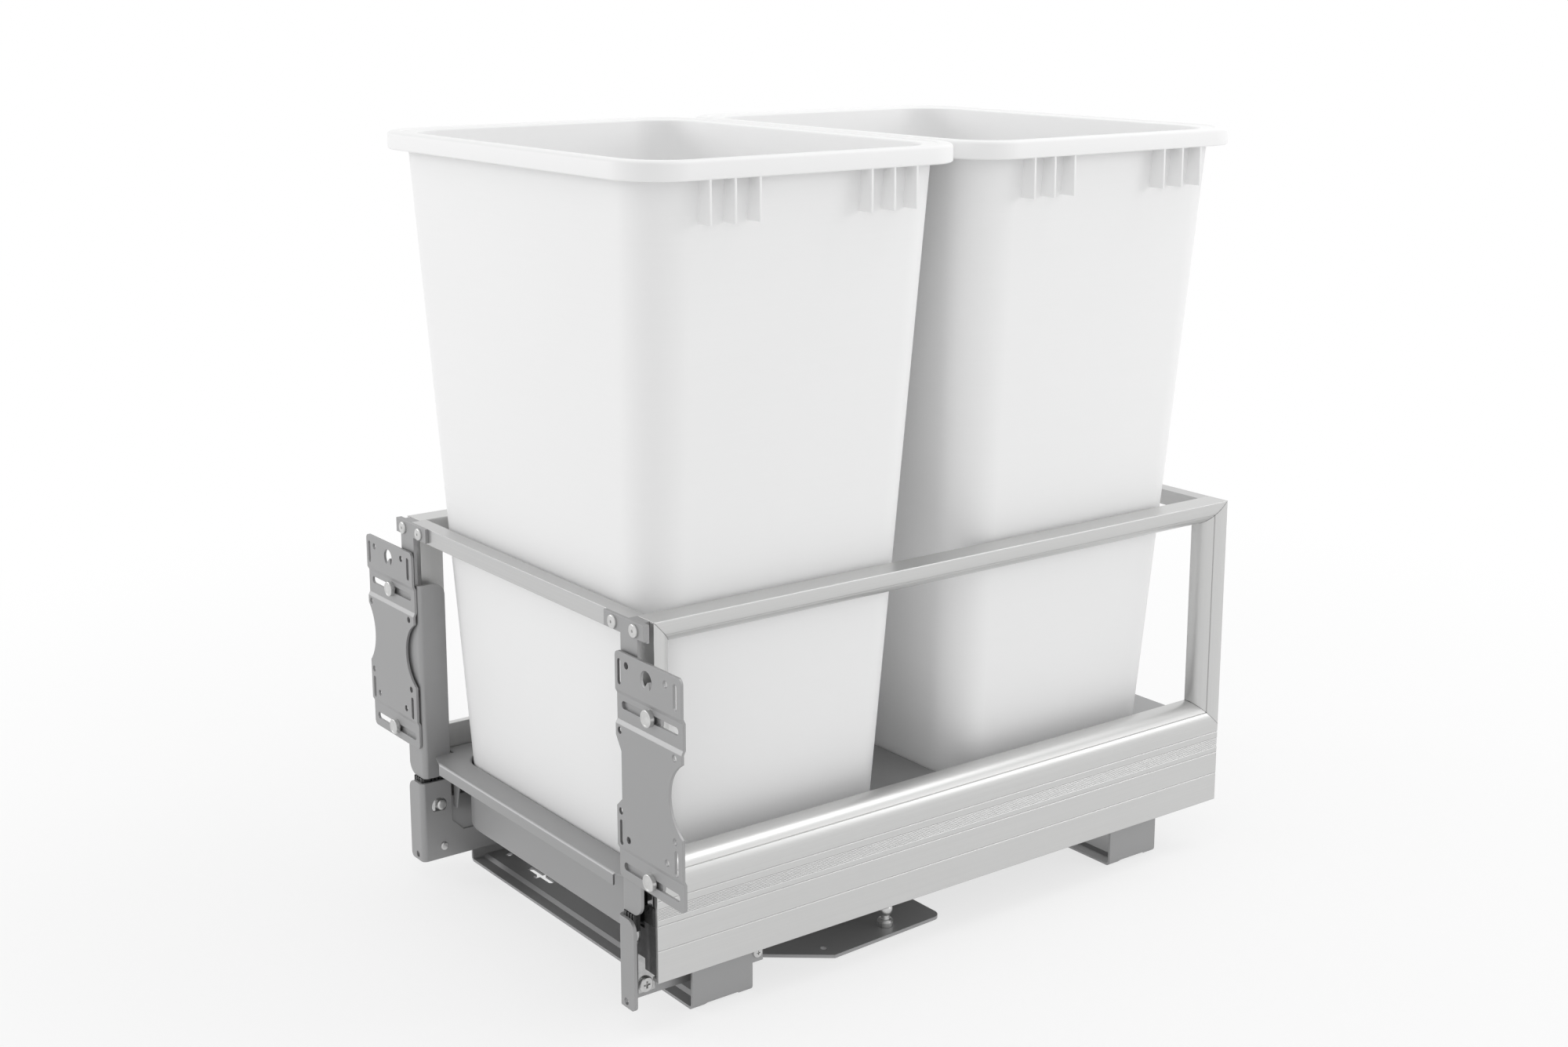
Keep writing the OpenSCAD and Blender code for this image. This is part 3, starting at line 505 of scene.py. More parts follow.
@dataclass(frozen=True)
class AnodisedAluminium:
    """Satin anodised mouldings, with the fine lines of the die and of the mitres, and shade painted
    into their grooves and corners.
    """

    grain: Grain
    dark: Colour = (0.575, 0.575, 0.57)
    light: Colour = (0.645, 0.645, 0.64)
    joint: Colour = (0.07, 0.07, 0.07)
    # the dark grey that grooves and corners are painted towards, as shade
    painted_groove_shade: Colour = (0.3, 0.3, 0.3)
    joint_w: float = 0.22
    crease: float = 1.2  # how far the painted shade reaches from a groove onto what is beside it
    crease_open: tuple[float, float] = (0.3, 0.85)  # the open share of a groove and of a plain face: the painted shade is full at the first and gone at the second
    corner: tuple[float, float] = (19.0, 19.5)  # how far the mitres reach in from the frame's ends
    edge: float = 0.6
    name: str = "anodised"

    def mitres(self, shader: Shader) -> Value:
        """The fine lines where the mouldings meet at 45 degrees.

        Args:
            shader: The nodes to add to.

        Returns:
            1 on a line, 0 beside it.
        """
        point = shader.value("ShaderNodeTexCoord", {}, {}, "Object")
        depth = shader.value("ShaderNodeSeparateXYZ", {}, {0: point}, "Y")
        height = shader.value("ShaderNodeSeparateXYZ", {}, {0: point}, "Z")
        middle = at(0, FRAME_DEPTH / 2, 0).y
        from_end = FRAME_DEPTH / 2 * MM - (depth - middle).size()
        top = (from_end - (FRAME_TOP * MM - height)).size()
        foot = (from_end - (height - MOULD_Z * MM)).size()
        at_corner = 1 - from_end.between(*(reach * MM for reach in self.corner))
        near = 1 - top.smaller(foot).between(self.joint_w * MM / 2, self.joint_w * MM)
        return near * at_corner

    def make(self) -> bpy.types.Material:
        """Mixes the finish.

        Returns:
            The material.
        """
        shader = Shader(f"{self.name}_{self.grain.name.lower()}")
        lines = shader.noise(shader.place(self.grain.value), 1.0, 4.0)
        clouds = shader.noise(shader.place(shader.EVEN), 14.0)
        # Painted shade: ambient occlusion darkens the metal's colour in grooves, in corners and where
        # parts meet.
        open_face = shader.value(
            "ShaderNodeAmbientOcclusion", {"samples": 8}, {"Distance": self.crease * MM}, "AO")
        metal = shader.tint(lines * 0.7 + clouds * 0.3, self.dark, self.light)
        shaded = shader.tint(open_face.between(*self.crease_open), self.painted_groove_shade, metal)
        if self.grain is not Grain.ALONG_WIDTH:
            shaded = shader.tint(self.mitres(shader), shaded, self.joint)
        return shader.finish({
            "Base Color": shaded, "Metallic": 0.8,
            "Roughness": lines * 0.05 + clouds * 0.04 + 0.3,
            "Normal": shader.relief(lines, 0.006, self.edge)})


@dataclass(frozen=True)
class CoatedSteel:
    """Steel sheet under a fine silver grey coating."""

    dark: Colour = (0.34, 0.34, 0.342)
    light: Colour = (0.39, 0.39, 0.392)
    edge: float = 0.45

    def make(self) -> bpy.types.Material:
        """Mixes the finish.

        Returns:
            The material.
        """
        shader = Shader("grey_coating")
        flakes = shader.noise(shader.place(shader.EVEN), 2600.0, 2.0)
        clouds = shader.noise(shader.place(shader.EVEN), 22.0)
        return shader.finish({
            "Base Color": shader.tint(flakes * 0.6 + clouds * 0.4, self.dark, self.light),
            "Metallic": 0.6,
            "Roughness": flakes * 0.12 + clouds * 0.06 + 0.38,
            "Normal": shader.relief(flakes, 0.012, self.edge)})


@dataclass(frozen=True)
class ZincSteel:
    """Zinc plated sheet with a faint spangle."""

    dark: Colour = (0.46, 0.46, 0.455)
    light: Colour = (0.62, 0.62, 0.61)
    drawn: Place = (1, 0.4, 1)  # the spangle is stretched along the slides

    def make(self) -> bpy.types.Material:
        """Mixes the finish.

        Returns:
            The material.
        """
        shader = Shader("zinc_plating")
        spangle = shader.value(
            "ShaderNodeTexVoronoi", {}, {"Vector": shader.place(self.drawn), "Scale": 260.0}, "Color")
        grey = shader.value("ShaderNodeRGBToBW", {}, {0: spangle})
        clouds = shader.noise(shader.place(shader.EVEN), 40.0)
        return shader.finish({
            "Base Color": shader.tint(grey * 0.5 + clouds * 0.5, self.dark, self.light),
            "Metallic": 1.0,
            "Roughness": grey * 0.08 + clouds * 0.1 + 0.24,
            "Normal": shader.relief(clouds, 0.02, 0.3)})


@dataclass(frozen=True)
class PlatedSteel:
    """Plated steel with faint handling marks."""

    name: str = "satin_plating"
    light: Colour = (0.64, 0.64, 0.635)
    dull: Colour = (0.56, 0.56, 0.555)
    polish: float = 0.3

    def make(self) -> bpy.types.Material:
        """Mixes the finish.

        Returns:
            The material.
        """
        shader = Shader(self.name)
        marks = shader.noise(shader.place(shader.EVEN), 240.0, 4.0).between(0.3, 0.75)
        return shader.finish({
            "Base Color": shader.tint(marks, self.light, self.dull), "Metallic": 0.9,
            "Roughness": marks * 0.06 + self.polish,
            "Normal": shader.relief(marks, 0.002, 0.25)})


@dataclass(frozen=True)
class DarkSteel:
    """Dark oiled steel of the clips and adjusters."""

    dark: Colour = (0.012, 0.012, 0.012)
    light: Colour = (0.04, 0.04, 0.04)

    def make(self) -> bpy.types.Material:
        """Mixes the finish.

        Returns:
            The material.
        """
        shader = Shader("dark_oiled_steel")
        oil = shader.noise(shader.place(shader.EVEN), 90.0, 4.0)
        return shader.finish({
            "Base Color": shader.tint(oil, self.dark, self.light), "Metallic": 0.6,
            "Roughness": oil * 0.2 + 0.16, "Coat Weight": 0.5,
            "Normal": shader.relief(oil, 0.01, 0.25)})


@dataclass(frozen=True)
class MouldedPlastic:
    """White moulded plastic with a fine level texture."""

    dark: Colour = (0.91, 0.91, 0.91)
    light: Colour = (0.94, 0.94, 0.94)
    texture: Place = (14, 14, 1500)  # long level lines, close together

    def make(self) -> bpy.types.Material:
        """Mixes the finish.

        Returns:
            The material.
        """
        shader = Shader("white_moulded_plastic")
        lines = shader.noise(shader.place(self.texture), 1.0, 2.0)
        clouds = shader.noise(shader.place(shader.EVEN), 9.0)
        return shader.finish({
            "Base Color": shader.tint(lines * 0.5 + clouds * 0.5, self.dark, self.light),
            "Roughness": lines * 0.1 + clouds * 0.08 + 0.4, "Specular IOR Level": 0.4,
            "Normal": shader.relief(lines, 0.012)})


@dataclass
class Finishes:
    """Every finish of the frame, made once."""

    along_width: bpy.types.Material = field(default_factory=AnodisedAluminium(
        Grain.ALONG_WIDTH, dark=(0.5, 0.5, 0.498), light=(0.58, 0.58, 0.578)).make)
    along_depth: bpy.types.Material = field(
        default_factory=AnodisedAluminium(Grain.ALONG_DEPTH).make)
    along_height: bpy.types.Material = field(
        default_factory=AnodisedAluminium(Grain.ALONG_HEIGHT).make)
    top_rail: bpy.types.Material = field(default_factory=AnodisedAluminium(
        Grain.ALONG_DEPTH, edge=1.3, name="anodised_rail").make)
    coating: bpy.types.Material = field(default_factory=CoatedSteel().make)
    zinc: bpy.types.Material = field(default_factory=ZincSteel().make)
    bright: bpy.types.Material = field(default_factory=PlatedSteel().make)
    polished: bpy.types.Material = field(default_factory=PlatedSteel(
        "polished_plating", light=(0.5, 0.5, 0.5), dull=(0.42, 0.42, 0.42), polish=0.1).make)
    dark: bpy.types.Material = field(default_factory=DarkSteel().make)
    plastic: bpy.types.Material = field(default_factory=MouldedPlastic().make)

    def of_slot(self, slot: str, node: str) -> bpy.types.Material:
        """The finish of a CAD node.

        Args:
            slot: The record's material slot.
            node: The node's name.

        Returns:
            The material.
        """
        if slot == "moulding_aluminium":
            if node in ("front_bar", "rear_bar"):
                return self.along_width
            if "top_rail" in node:
                return self.top_rail
            return self.along_height if "post" in node else self.along_depth
        if "front_clip" in node:
            return self.polished
        return {
            "grey_coated_steel": self.coating, "zinc_steel": self.zinc, "bright_fastener": self.bright,
            "dark_steel": self.dark, "white_plastic": self.plastic}[slot]


def dress(piece: Workpiece, material: bpy.types.Material, body: str, slot: str, *nodes: str) -> None:
    """Finishes a piece, sets it on its body and puts it in place of CAD nodes.

    Args:
        piece: The piece.
        material: Its finish.
        body: The body that it rides on.
        slot: The record's material slot; not used.
        nodes: The CAD nodes that it stands for.
    """
    obj = piece.rest()
    obj.data.materials.clear()
    obj.data.materials.append(material)
    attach(obj, body)
    if nodes:
        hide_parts(*nodes)
    LOG.info("%s: %d faces on %s", obj.name, len(obj.data.polygons), body)


@dataclass
class WasteBin:
    """A moulded bin: drafted walls, a turned-down rim, and clusters of fins under the rim."""

    name: str
    body: str
    centre_y: float
    wall: float = 2.5
    base_z: float = 48.5
    rim_z: float = 578.0
    top_z: float = 591.0
    wall_half_x: float = 151.0  # at the side frames' top
    wall_half_y: float = 125.0  # at the rim's lower edge
    draft_x: float = 0.088
    draft_y: float = 0.04
    middle_z: float = 300.0
    rim_half_x: float = 188.168
    rim_half_y: float = 137.0
    skirt: float = 0.8  # the slope at the rim's lower edge
    lip_in: float = 7.5  # from the rim's outside to the step on its top
    lip_step: float = 0.8
    lip_round: float = 1.6
    corner: float = 33.0
    corner_steps: int = 14
    base_round: float = 7.0
    edge: float = 2.6
    fin_h: float = 29.0
    fin_t: float = 1.9
    fin_in: float = 0.6
    fin_pitch: float = 19.5
    fins_centre: float = 65.5

    def wall_at(self, z: float, inset: float = 0.0) -> Ring:
        """The outline of the drafted wall at a height.

        Args:
            z: The height, in millimetres.
            inset: How far inside the outer face.

        Returns:
            The ring.
        """
        half_x = self.wall_half_x + self.draft_x * (z - FRAME_TOP)
        half_y = self.wall_half_y + self.draft_y * (z - self.rim_z)
        return Ring(half_x - inset, half_y - inset, z)

    def rim_at(self, z: float, inset: float = 0.0) -> Ring:
        """The outline of the rim at a height, inset from its outer face."""
        return Ring(self.rim_half_x - inset, self.rim_half_y - inset, z)

    def profile(self) -> list[Ring]:
        """The section of the bin.

        Returns:
            The rings from the underside, up the wall, over the rim and down to the floor inside.
        """
        channel = self.top_z - self.wall
        foot = self.base_z + self.base_round
        lip_z = self.top_z - self.lip_step
        return [
            *round_edge(self.wall_at, foot, self.base_round, self.base_round, -90, 0),
            self.wall_at(self.middle_z), self.wall_at(channel),
            self.rim_at(channel, self.wall), self.rim_at(self.rim_z, self.wall),
            self.rim_at(self.rim_z, self.skirt), self.rim_at(self.rim_z + self.skirt),
            *round_edge(self.rim_at, self.top_z - self.edge, self.edge, self.edge, 0, 90),
            self.rim_at(self.top_z, self.lip_in), self.rim_at(lip_z, self.lip_in + self.lip_step),
            *round_edge(self.wall_at, lip_z - self.lip_round, self.wall + self.lip_round,
                        -self.lip_round, -90, 0),
            self.wall_at(self.middle_z, self.wall),
            *round_edge(self.wall_at, foot + self.wall, self.wall + self.base_round,
                        self.base_round, 0, -90),
        ]

    def shell(self) -> Workpiece:
        """The bin without its fins.

        Returns:
            The piece.
        """
        rings = self.profile()
        centre = at(0, self.centre_y, self.base_z)
        piece = Workpiece.plate(self.name, rings[0].half_x, rings[0].half_y, centre)
        piece.pick_all()
        piece.bevel(self.corner - self.base_round, self.corner_steps, corners=True)
        piece.pick_all(Pick.FACE)
        piece.loft(rings, centre)
        return piece

    def fin(self) -> Workpiece:
        """One fin on the right wall, under the rim, at the middle of the bin.

        Returns:
            The fin, drawn out of the wall as far as the rim.
        """
        foot, head = self.rim_z - self.fin_h, self.rim_z + NEAR
        root, tip = self.wall_at(foot).half_x - self.wall / 2, self.rim_half_x - self.fin_in
        half = self.fin_t / 2
        piece = Workpiece.block(
            "fin", at(root, self.centre_y - half, foot), at(tip, self.centre_y + half, head))
        middle = (root + self.rim_half_x) / 2 * MM
        low = (foot + NEAR) * MM
        piece.pick(Pick.VERTEX, lambda place, normal: (
            place.x < middle and place.z > self.rim_z * MM))
        piece.move(x=self.wall_at(head).half_x - self.wall_at(foot).half_x)
        piece.pick(Pick.EDGE, lambda a, b: min(a.x, b.x) > middle or max(a.z, b.z) < low)
        piece.bevel(self.fin_t / 4, 2)
        return piece

    def build(self, finishes: Finishes) -> None:
        """Makes the bin and dresses it.

        Args:
            finishes: The finishes to dress it with.
        """
        piece = self.shell()
        master = self.fin()
        middle = Matrix.Translation(at(0, self.centre_y, 0))
        fins = []
        for turn in (0.0, math.pi):
            turned = middle @ Matrix.Rotation(turn, 4, "Z") @ middle.inverted()
            for cluster in (-self.fins_centre, self.fins_centre):
                for step in (-1, 0, 1):
                    shift = Matrix.Translation((0, (cluster + step * self.fin_pitch) * MM, 0))
                    fins.append(master.copy("fin_copy", shift @ turned))
        master.discard()
        piece.join(fins)
        piece.smooth()
        node = self.name.replace("moulded_", "")
        dress(piece, finishes.plastic, self.body, "white_plastic", node)


@dataclass(frozen=True)
class Fastener:
    """A screw or knob, upright with the underside of its head on the origin."""

    head_r: float
    head_h: float
    dome: float
    shank_r: float
    shank_len: float
    recess: Recess = Recess.NONE
    recess_r: float = 1.4
    recess_depth: float = 0.6  # as a share of the head's height
    recess_taper: float = 0.6  # the size of its bottom, as a share of its mouth
    recess_arm: float = 0.26  # the width of a cross's arm, as a share of its length
    dish: float = 0.0
    dish_rim: float = 0.12  # as a share of the head's radius

    def cutter(self) -> Workpiece:
        """The solid that cuts the drive into the head.

        Returns:
            The cutter, in its place.
        """
        depth = self.head_h * self.recess_depth
        height = depth + NEAR
        if self.recess is Recess.HEXAGON:
            tool = Workpiece.round_bar("drive_cutter", self.recess_r, height, 6)
        else:
            arm = Vector((self.recess_r, self.recess_r * self.recess_arm, height / 2)) * MM
            raise_by = Vector((0, 0, arm.z))
            tool = Workpiece.block("drive_cutter", raise_by - arm, raise_by + arm)
            arm.x, arm.y = arm.y, arm.x
            second = Workpiece.block("drive_arm", raise_by - arm, raise_by + arm)
            tool.modify("BOOLEAN", operation="UNION", object=second.obj)
            second.discard()
        tool.pick_all()
        tool.move(z=self.head_h - depth)
        tool.pick(Pick.FACE, lambda place, normal: normal.z < -UPRIGHT)
        bottom = Vector((0, 0, (self.head_h - depth) * MM))
        tool.resize(self.recess_taper, self.recess_taper, 1, bottom)
        return tool

    def build(self, name: str) -> Workpiece:
        """The fastener, upright on the origin.

        Args:
            name: The name of the piece.

        Returns:
            The piece.
        """
        piece = Workpiece.round_bar(name, self.head_r, self.head_h)
        top = self.head_h * MM
        piece.pick(Pick.FACE, lambda place, normal: normal.z < -UPRIGHT)
        bpy.ops.mesh.inset(thickness=(self.head_r - self.shank_r) * MM)
        piece.extrude(z=-self.shank_len)
        piece.pick(Pick.EDGE, lambda a, b: min(a.z, b.z) > top - TINY)
        piece.bevel(self.dome, 4)
        if self.dish:
            piece.pick(Pick.FACE, lambda place, normal: place.z > top - TINY)
            bpy.ops.mesh.inset(thickness=self.head_r * self.dish_rim * MM)
            bpy.ops.mesh.inset(thickness=self.dish * MM)
            piece.move(z=-self.dish)
        if self.recess is not Recess.NONE:
            tool = self.cutter()
            piece.modify("BOOLEAN", operation="DIFFERENCE", object=tool.obj, solver="EXACT")
            tool.discard()
        piece.smooth(40)
        return piece


FastenerRow = tuple[Fastener, list[tuple[Vector, Facing]]]


@dataclass
class FastenerSet:
    """Fasteners in place of one CAD node, each kind with its places."""

    node: str
    body: str
    slot: str
    rows: list[FastenerRow]

    def build(self, material: bpy.types.Material) -> None:
        """Makes one fastener of each kind, copies it to its places and dresses the set.

        Args:
            material: The finish of the set.
        """
        copies = []
        for kind, places in self.rows:
            master = kind.build(f"{self.node}_master")
            for place, facing in places:
                turn = Vector((0, 0, 1)).rotation_difference(facing.value).to_matrix().to_4x4()
                copies.append(master.copy(f"fitted_{self.node}", Matrix.Translation(place) @ turn))
            master.discard()
        copies[0].join(copies[1:])
        copies[0].obj.name = f"fitted_{self.node}"
        dress(copies[0], material, self.body, self.slot, self.node)


@dataclass
class Fasteners:
    """Every fastener that shows. Places are those of the right side, and the left mirrors them."""

    ears: tuple[Place, ...] = ((139, -9, 286), (165, -9, 286))
    cam: Place = (147, 5, 61)
    clamp: Place = (149, 6, 26)
    nut: Place = (144.5, 6, 26)
    foot: Place = (159.5, 93.5, 28)
    slide_z: float = 67.5
    bolt_x: float = 157.5
    bolt_ys: tuple[float, ...] = (49.75, 77.75, 457.25, 485.25)
    screw_x: float = 171.1
    screw_ys: tuple[float, ...] = tuple(32 + 500 * i / 6 for i in (1, 3, 5))
    knob_x: float = 185.5
    knob_y: float = -11.0
    knob_zs: tuple[float, ...] = (118.5, 232.5)
    knob_clear: float = 0.05  # under the knobs' heads, so that the plates slide free

    def pairs(self, kind: Fastener, left: Facing, right: Facing, *places: Place) -> FastenerRow:
        """One kind of fastener on both sides.

        Args:
            kind: The fastener.
            left: The way that the heads on the left look.
            right: The way that the heads on the right look.
            places: Their places on the right.

        Returns:
            The fastener with all its places, the left ones first.
        """
        facing = {-1: left, 1: right}
        return kind, [(at(s * x, y, z), facing[s]) for s in SIDES.values() for x, y, z in places]

    def knobs(self, side: int) -> FastenerRow:
        """The knobs of one door plate.

        Args:
            side: -1 on the left, 1 on the right.

        Returns:
            The knob with its places.
        """
        knob = Fastener(
            head_r=6.0, head_h=3.6 - self.knob_clear, dome=0.5, shank_r=2.5, shank_len=6.5, dish=0.25)
        y = self.knob_y - self.knob_clear
        return knob, [(at(side * self.knob_x, y, z), Facing.TO_DOOR) for z in self.knob_zs]

    def sets(self) -> list[FastenerSet]:
        """The fasteners by CAD node.

        Returns:
            The sets.
        """
        ear = Fastener(head_r=4.8, head_h=1.6, dome=0.9, shank_r=1.8, shank_len=2.5,
                       recess=Recess.HEXAGON, recess_r=1.5)
        cam = Fastener(head_r=4.3, head_h=4.0, dome=1.9, shank_r=2.2, shank_len=5.0)
        clamp = Fastener(head_r=5.8, head_h=2.5, dome=1.7, shank_r=2.0, shank_len=4.5,
                         recess=Recess.CROSS, recess_r=3.2)
        nut = Fastener(head_r=3.3, head_h=1.8, dome=1.3, shank_r=2.0, shank_len=2.5)
        foot = Fastener(head_r=3.8, head_h=1.8, dome=1.2, shank_r=2.0, shank_len=5.0,
                        recess=Recess.CROSS, recess_r=2.0)
        bolt = Fastener(head_r=3.6, head_h=1.2, dome=0.7, shank_r=2.0, shank_len=3.4)
        screw = Fastener(head_r=3.6, head_h=1.2, dome=0.7, shank_r=2.0, shank_len=2.4,
                         recess=Recess.CROSS, recess_r=2.0)
        inward = (Facing.TO_RIGHT, Facing.TO_LEFT)
        outward = (Facing.TO_LEFT, Facing.TO_RIGHT)
        to_door = (Facing.TO_DOOR, Facing.TO_DOOR)
        bolts = [(self.bolt_x, y, self.slide_z) for y in self.bolt_ys]
        screws = [(self.screw_x, y, self.slide_z) for y in self.screw_ys]
        return [
            FastenerSet("ear_screws", "drawer", "bright_fastener", [
                self.pairs(ear, *to_door, *self.ears)]),
            FastenerSet("cam_screws", "drawer", "bright_fastener", [
                self.pairs(cam, *inward, self.cam)]),
            FastenerSet("clamp_screws", "drawer", "bright_fastener", [
                self.pairs(clamp, *outward, self.clamp), self.pairs(nut, *inward, self.nut)]),
            FastenerSet("foot_screws", "base", "bright_fastener", [
                self.pairs(foot, *outward, self.foot)]),
            FastenerSet("slide_bolts", "base", "zinc_steel", [self.pairs(bolt, *inward, *bolts)]),
            FastenerSet("slide_screws", "drawer", "zinc_steel", [self.pairs(screw, *inward, *screws)]),
            *(FastenerSet(f"plate_knobs_{side}", "drawer", "bright_fastener", [self.knobs(s)])
              for side, s in SIDES.items()),
        ]

    def build(self, finishes: Finishes) -> None:
        """Makes every set and dresses it.

        Args:
            finishes: The finishes to dress them with.
        """
        for fitted in self.sets():
            fitted.build(finishes.of_slot(fitted.slot, fitted.node))


@dataclass
class BallStud:
    """The turned ball stud of the damper plate."""

    x: float = 141.5
    y: float = 225.7
    foot_z: float = 4.5
    collar_r: float = 6.2
    collar_h: float = 4.0
    collar_round: float = 0.4
    shoulder_r: float = 5.2
    shoulder_h: float = 1.2
    neck_r: float = 3.4
    neck_rise: float = 1.8  # from the collar's top to where the neck is straight
    ball_r: float = 5.5
    ball_z: float = 13.0
    ball_steps: int = 12
    flat_r: float = 0.8  # the flat on top of the ball

    def profile(self) -> list[tuple[float, float]]:
        """The section of the stud.

        Returns:
            Radii and heights, from the top of the collar to the top of the ball.
        """
        join = math.acos(self.neck_r / self.ball_r)
        angles = [-join + (math.pi / 2 + join) * i / self.ball_steps for i in range(self.ball_steps)]
        return [
            (self.collar_r, self.collar_h), (self.shoulder_r, self.collar_h),
            (self.shoulder_r, self.collar_h + self.shoulder_h),
            (self.neck_r, self.collar_h + self.neck_rise),
            *((self.ball_r * math.cos(a), self.ball_z + self.ball_r * math.sin(a)) for a in angles),
            (self.flat_r, self.ball_z + self.ball_r)]

    def build(self, finishes: Finishes) -> None:
        """Turns the stud from a round bar and dresses it.

        Args:
            finishes: The finishes to dress it with.
        """
        piece = Workpiece.round_bar("turned_ball_stud", self.collar_r, self.collar_h, 48)
        piece.pick(Pick.FACE, lambda place, normal: normal.z > UPRIGHT)
        piece.loft([Ring(r, r, z) for r, z in self.profile()], Vector((0, 0, 0)))
        outside = (self.collar_r - self.collar_round / 2) * MM
        piece.pick(Pick.EDGE, lambda a, b: max(a.z, b.z) < TINY and a.xy.length > outside)
        piece.bevel(self.collar_round, 2)
        piece.pick_all()
        piece.move(self.x, self.y + FRONT_Y, self.foot_z)
        piece.smooth(30)
        dress(piece, finishes.bright, "base", "bright_fastener", "ball_stud")


@dataclass
class PressedTray:
    """The tray of the drawer: one pressed sheet with two tubs and a lip."""

    sheet: float = 1.5
    top_z: float = 103.0
    floor_z: float = 48.5
    half_w: float = 154.0
    corner_x: float = 142.0
    notch_y: float = 16.0
    lip_x: float = 127.0
    lip_y: float = -5.0
    lip_h: float = 9.5
    back_y: float = 550.0
    tub_half_x: float = 135.368
    tub_half_y: float = 107.0
    tub_r: float = 26.5
    tub_steps: int = 12
    fold: float = 2.0
    floor_round: float = 4.0
    tub_ys: tuple[float, float] = (124.0, 403.0)
    gusset_x: float = 144.5
    gusset_w: float = 15.0
    gusset_foot: float = 4.5
    gusset_h: float = 46.0
    gusset_round: float = 0.25

    def tub_at(self, z: float, inset: float) -> Ring:
        """The outline of a tub at a height, inset from its wall."""
        return Ring(self.tub_half_x - inset, self.tub_half_y - inset, z)

    def tub(self, y: float) -> Workpiece:
        """One tub, open at the top, from the rounded edge of its mouth down.

        Args:
            y: Its middle, from the side frames' front.

        Returns:
            The tub.
        """
        foot = self.floor_z + self.floor_round
        rings = [
            *round_edge(self.tub_at, self.top_z - self.fold, -self.fold, self.fold, 90, 180),
            *round_edge(self.tub_at, foot, self.floor_round, self.floor_round, 0, -90),
        ]
        centre = at(0, y, self.top_z)
        piece = Workpiece.plate("tub", rings[0].half_x, rings[0].half_y, centre)
        piece.pick_all()
        piece.bevel(self.tub_r + self.fold, self.tub_steps, corners=True)
        piece.pick_all(Pick.FACE)
        piece.loft(rings, centre)
        piece.pick(Pick.FACE, lambda place, normal: place.z > (self.top_z - LEVEL) * MM)
        bpy.ops.mesh.delete(type="ONLY_FACE")
        return piece

    def outline(self) -> Workpiece:
        """The edge of the flat sheet.

        Returns:
            A ring of edges.
        """
        middle = (self.notch_y + self.back_y) / 2
        centre = at(0, middle, self.top_z)
        piece = Workpiece.plate("pressed_tray", self.half_w, self.back_y - middle, centre)
        front = at(0, self.notch_y, 0).y
        third = self.half_w / 3  # where two cuts put their points on the front edge
        piece.pick(Pick.EDGE, lambda a, b: max(a.y, b.y) < front + NEAR * MM)
        bpy.ops.mesh.subdivide(number_cuts=2)
        piece.pick(Pick.VERTEX, lambda place, normal: abs(place.x) < (third + NEAR) * MM)
        piece.resize(self.corner_x / third, 1, 1, at(0, self.notch_y, self.top_z))
        piece.pick(Pick.EDGE, lambda a, b: (
            max(a.y, b.y) < front + TINY and abs(a.x + b.x) < NEAR * MM))
        piece.extrude(y=-self.notch_y)
        piece.extrude(y=self.lip_y)
        piece.resize(self.lip_x / self.corner_x, 1, 1, at(0, self.lip_y, self.top_z))
        piece.pick_all(Pick.FACE)
        bpy.ops.mesh.dissolve_faces()
        bpy.ops.mesh.delete(type="ONLY_FACE")
        return piece

    def gusset(self, side: int) -> Workpiece:
        """An ear folded down behind a lower bracket's flange.

        Args:
            side: -1 on the left, 1 on the right.

        Returns:
            The ear.
        """
        outer, inner = side * self.gusset_x, side * (self.gusset_x - self.gusset_w)
        foot = self.top_z - self.gusset_h
        piece = Workpiece.block(
            "gusset", at(min(outer, inner), self.notch_y, foot),
            at(max(outer, inner), self.notch_y + self.sheet, self.top_z - self.sheet / 2))
        piece.pick(Pick.VERTEX, lambda place, normal: (
            abs(place.x) < (self.gusset_x - NEAR) * MM and place.z < (foot + NEAR) * MM))
        piece.move(x=side * (self.gusset_w - self.gusset_foot))
        piece.pick_all(Pick.EDGE)
        piece.bevel(self.gusset_round, 2)
        return piece

    def build(self, finishes: Finishes) -> None:
        """Presses the sheet and dresses it.

        Args:
            finishes: The finishes to dress it with.
        """
        piece = self.outline()
        piece.join([self.tub(y) for y in self.tub_ys])
        level = (self.top_z - LEVEL) * MM
        piece.pick(Pick.EDGE, lambda a, b: min(a.z, b.z) > level)
        bpy.ops.mesh.fill(use_beauty=True)
        lip = at(0, self.lip_y, 0).y
        piece.pick(Pick.EDGE, lambda a, b: max(a.y, b.y) < lip + TINY)
        piece.extrude(z=-self.lip_h)
        piece.pick(Pick.EDGE, lambda a, b: max(a.y, b.y) < lip + TINY and min(a.z, b.z) > level)
        piece.bevel(self.fold, 4)
        piece.merge()
        self.face_up(piece)
        piece.modify("SOLIDIFY", thickness=self.sheet * MM, offset=-1.0, use_even_offset=True)
        piece.join([self.gusset(side) for side in SIDES.values()])
        piece.smooth(30)
        dress(piece, finishes.coating, "drawer", "grey_coated_steel", "tray")

    def face_up(self, piece: Workpiece) -> None:
        """Turns the open sheet so that its upper side is its outside.

        Args:
            piece: The sheet.
        """
        level = (self.top_z - self.fold) * MM
        flat = max(piece.rest().data.polygons, key=lambda face: face.area * (face.center.z > level))
        if flat.normal.z < 0:
            piece.pick_all()
            bpy.ops.mesh.flip_normals()


@dataclass(frozen=True)
class Lamp:
    """A square soft light, in metres and watts."""

    name: str
    place: Place
    size: float
    power: float

    def hang(self, aim: Vector) -> None:
        """Sets the lamp up.

        Args:
            aim: The point that it looks at, in metres.
        """
        data = bpy.data.lights.new(self.name, "AREA")
        data.size, data.energy = self.size, self.power
        lamp = bpy.data.objects.new(self.name, data)
        lamp.location = self.place
        lamp.rotation_euler = (aim - Vector(self.place)).to_track_quat("-Z", "Y").to_euler()
        bpy.context.collection.objects.link(lamp)


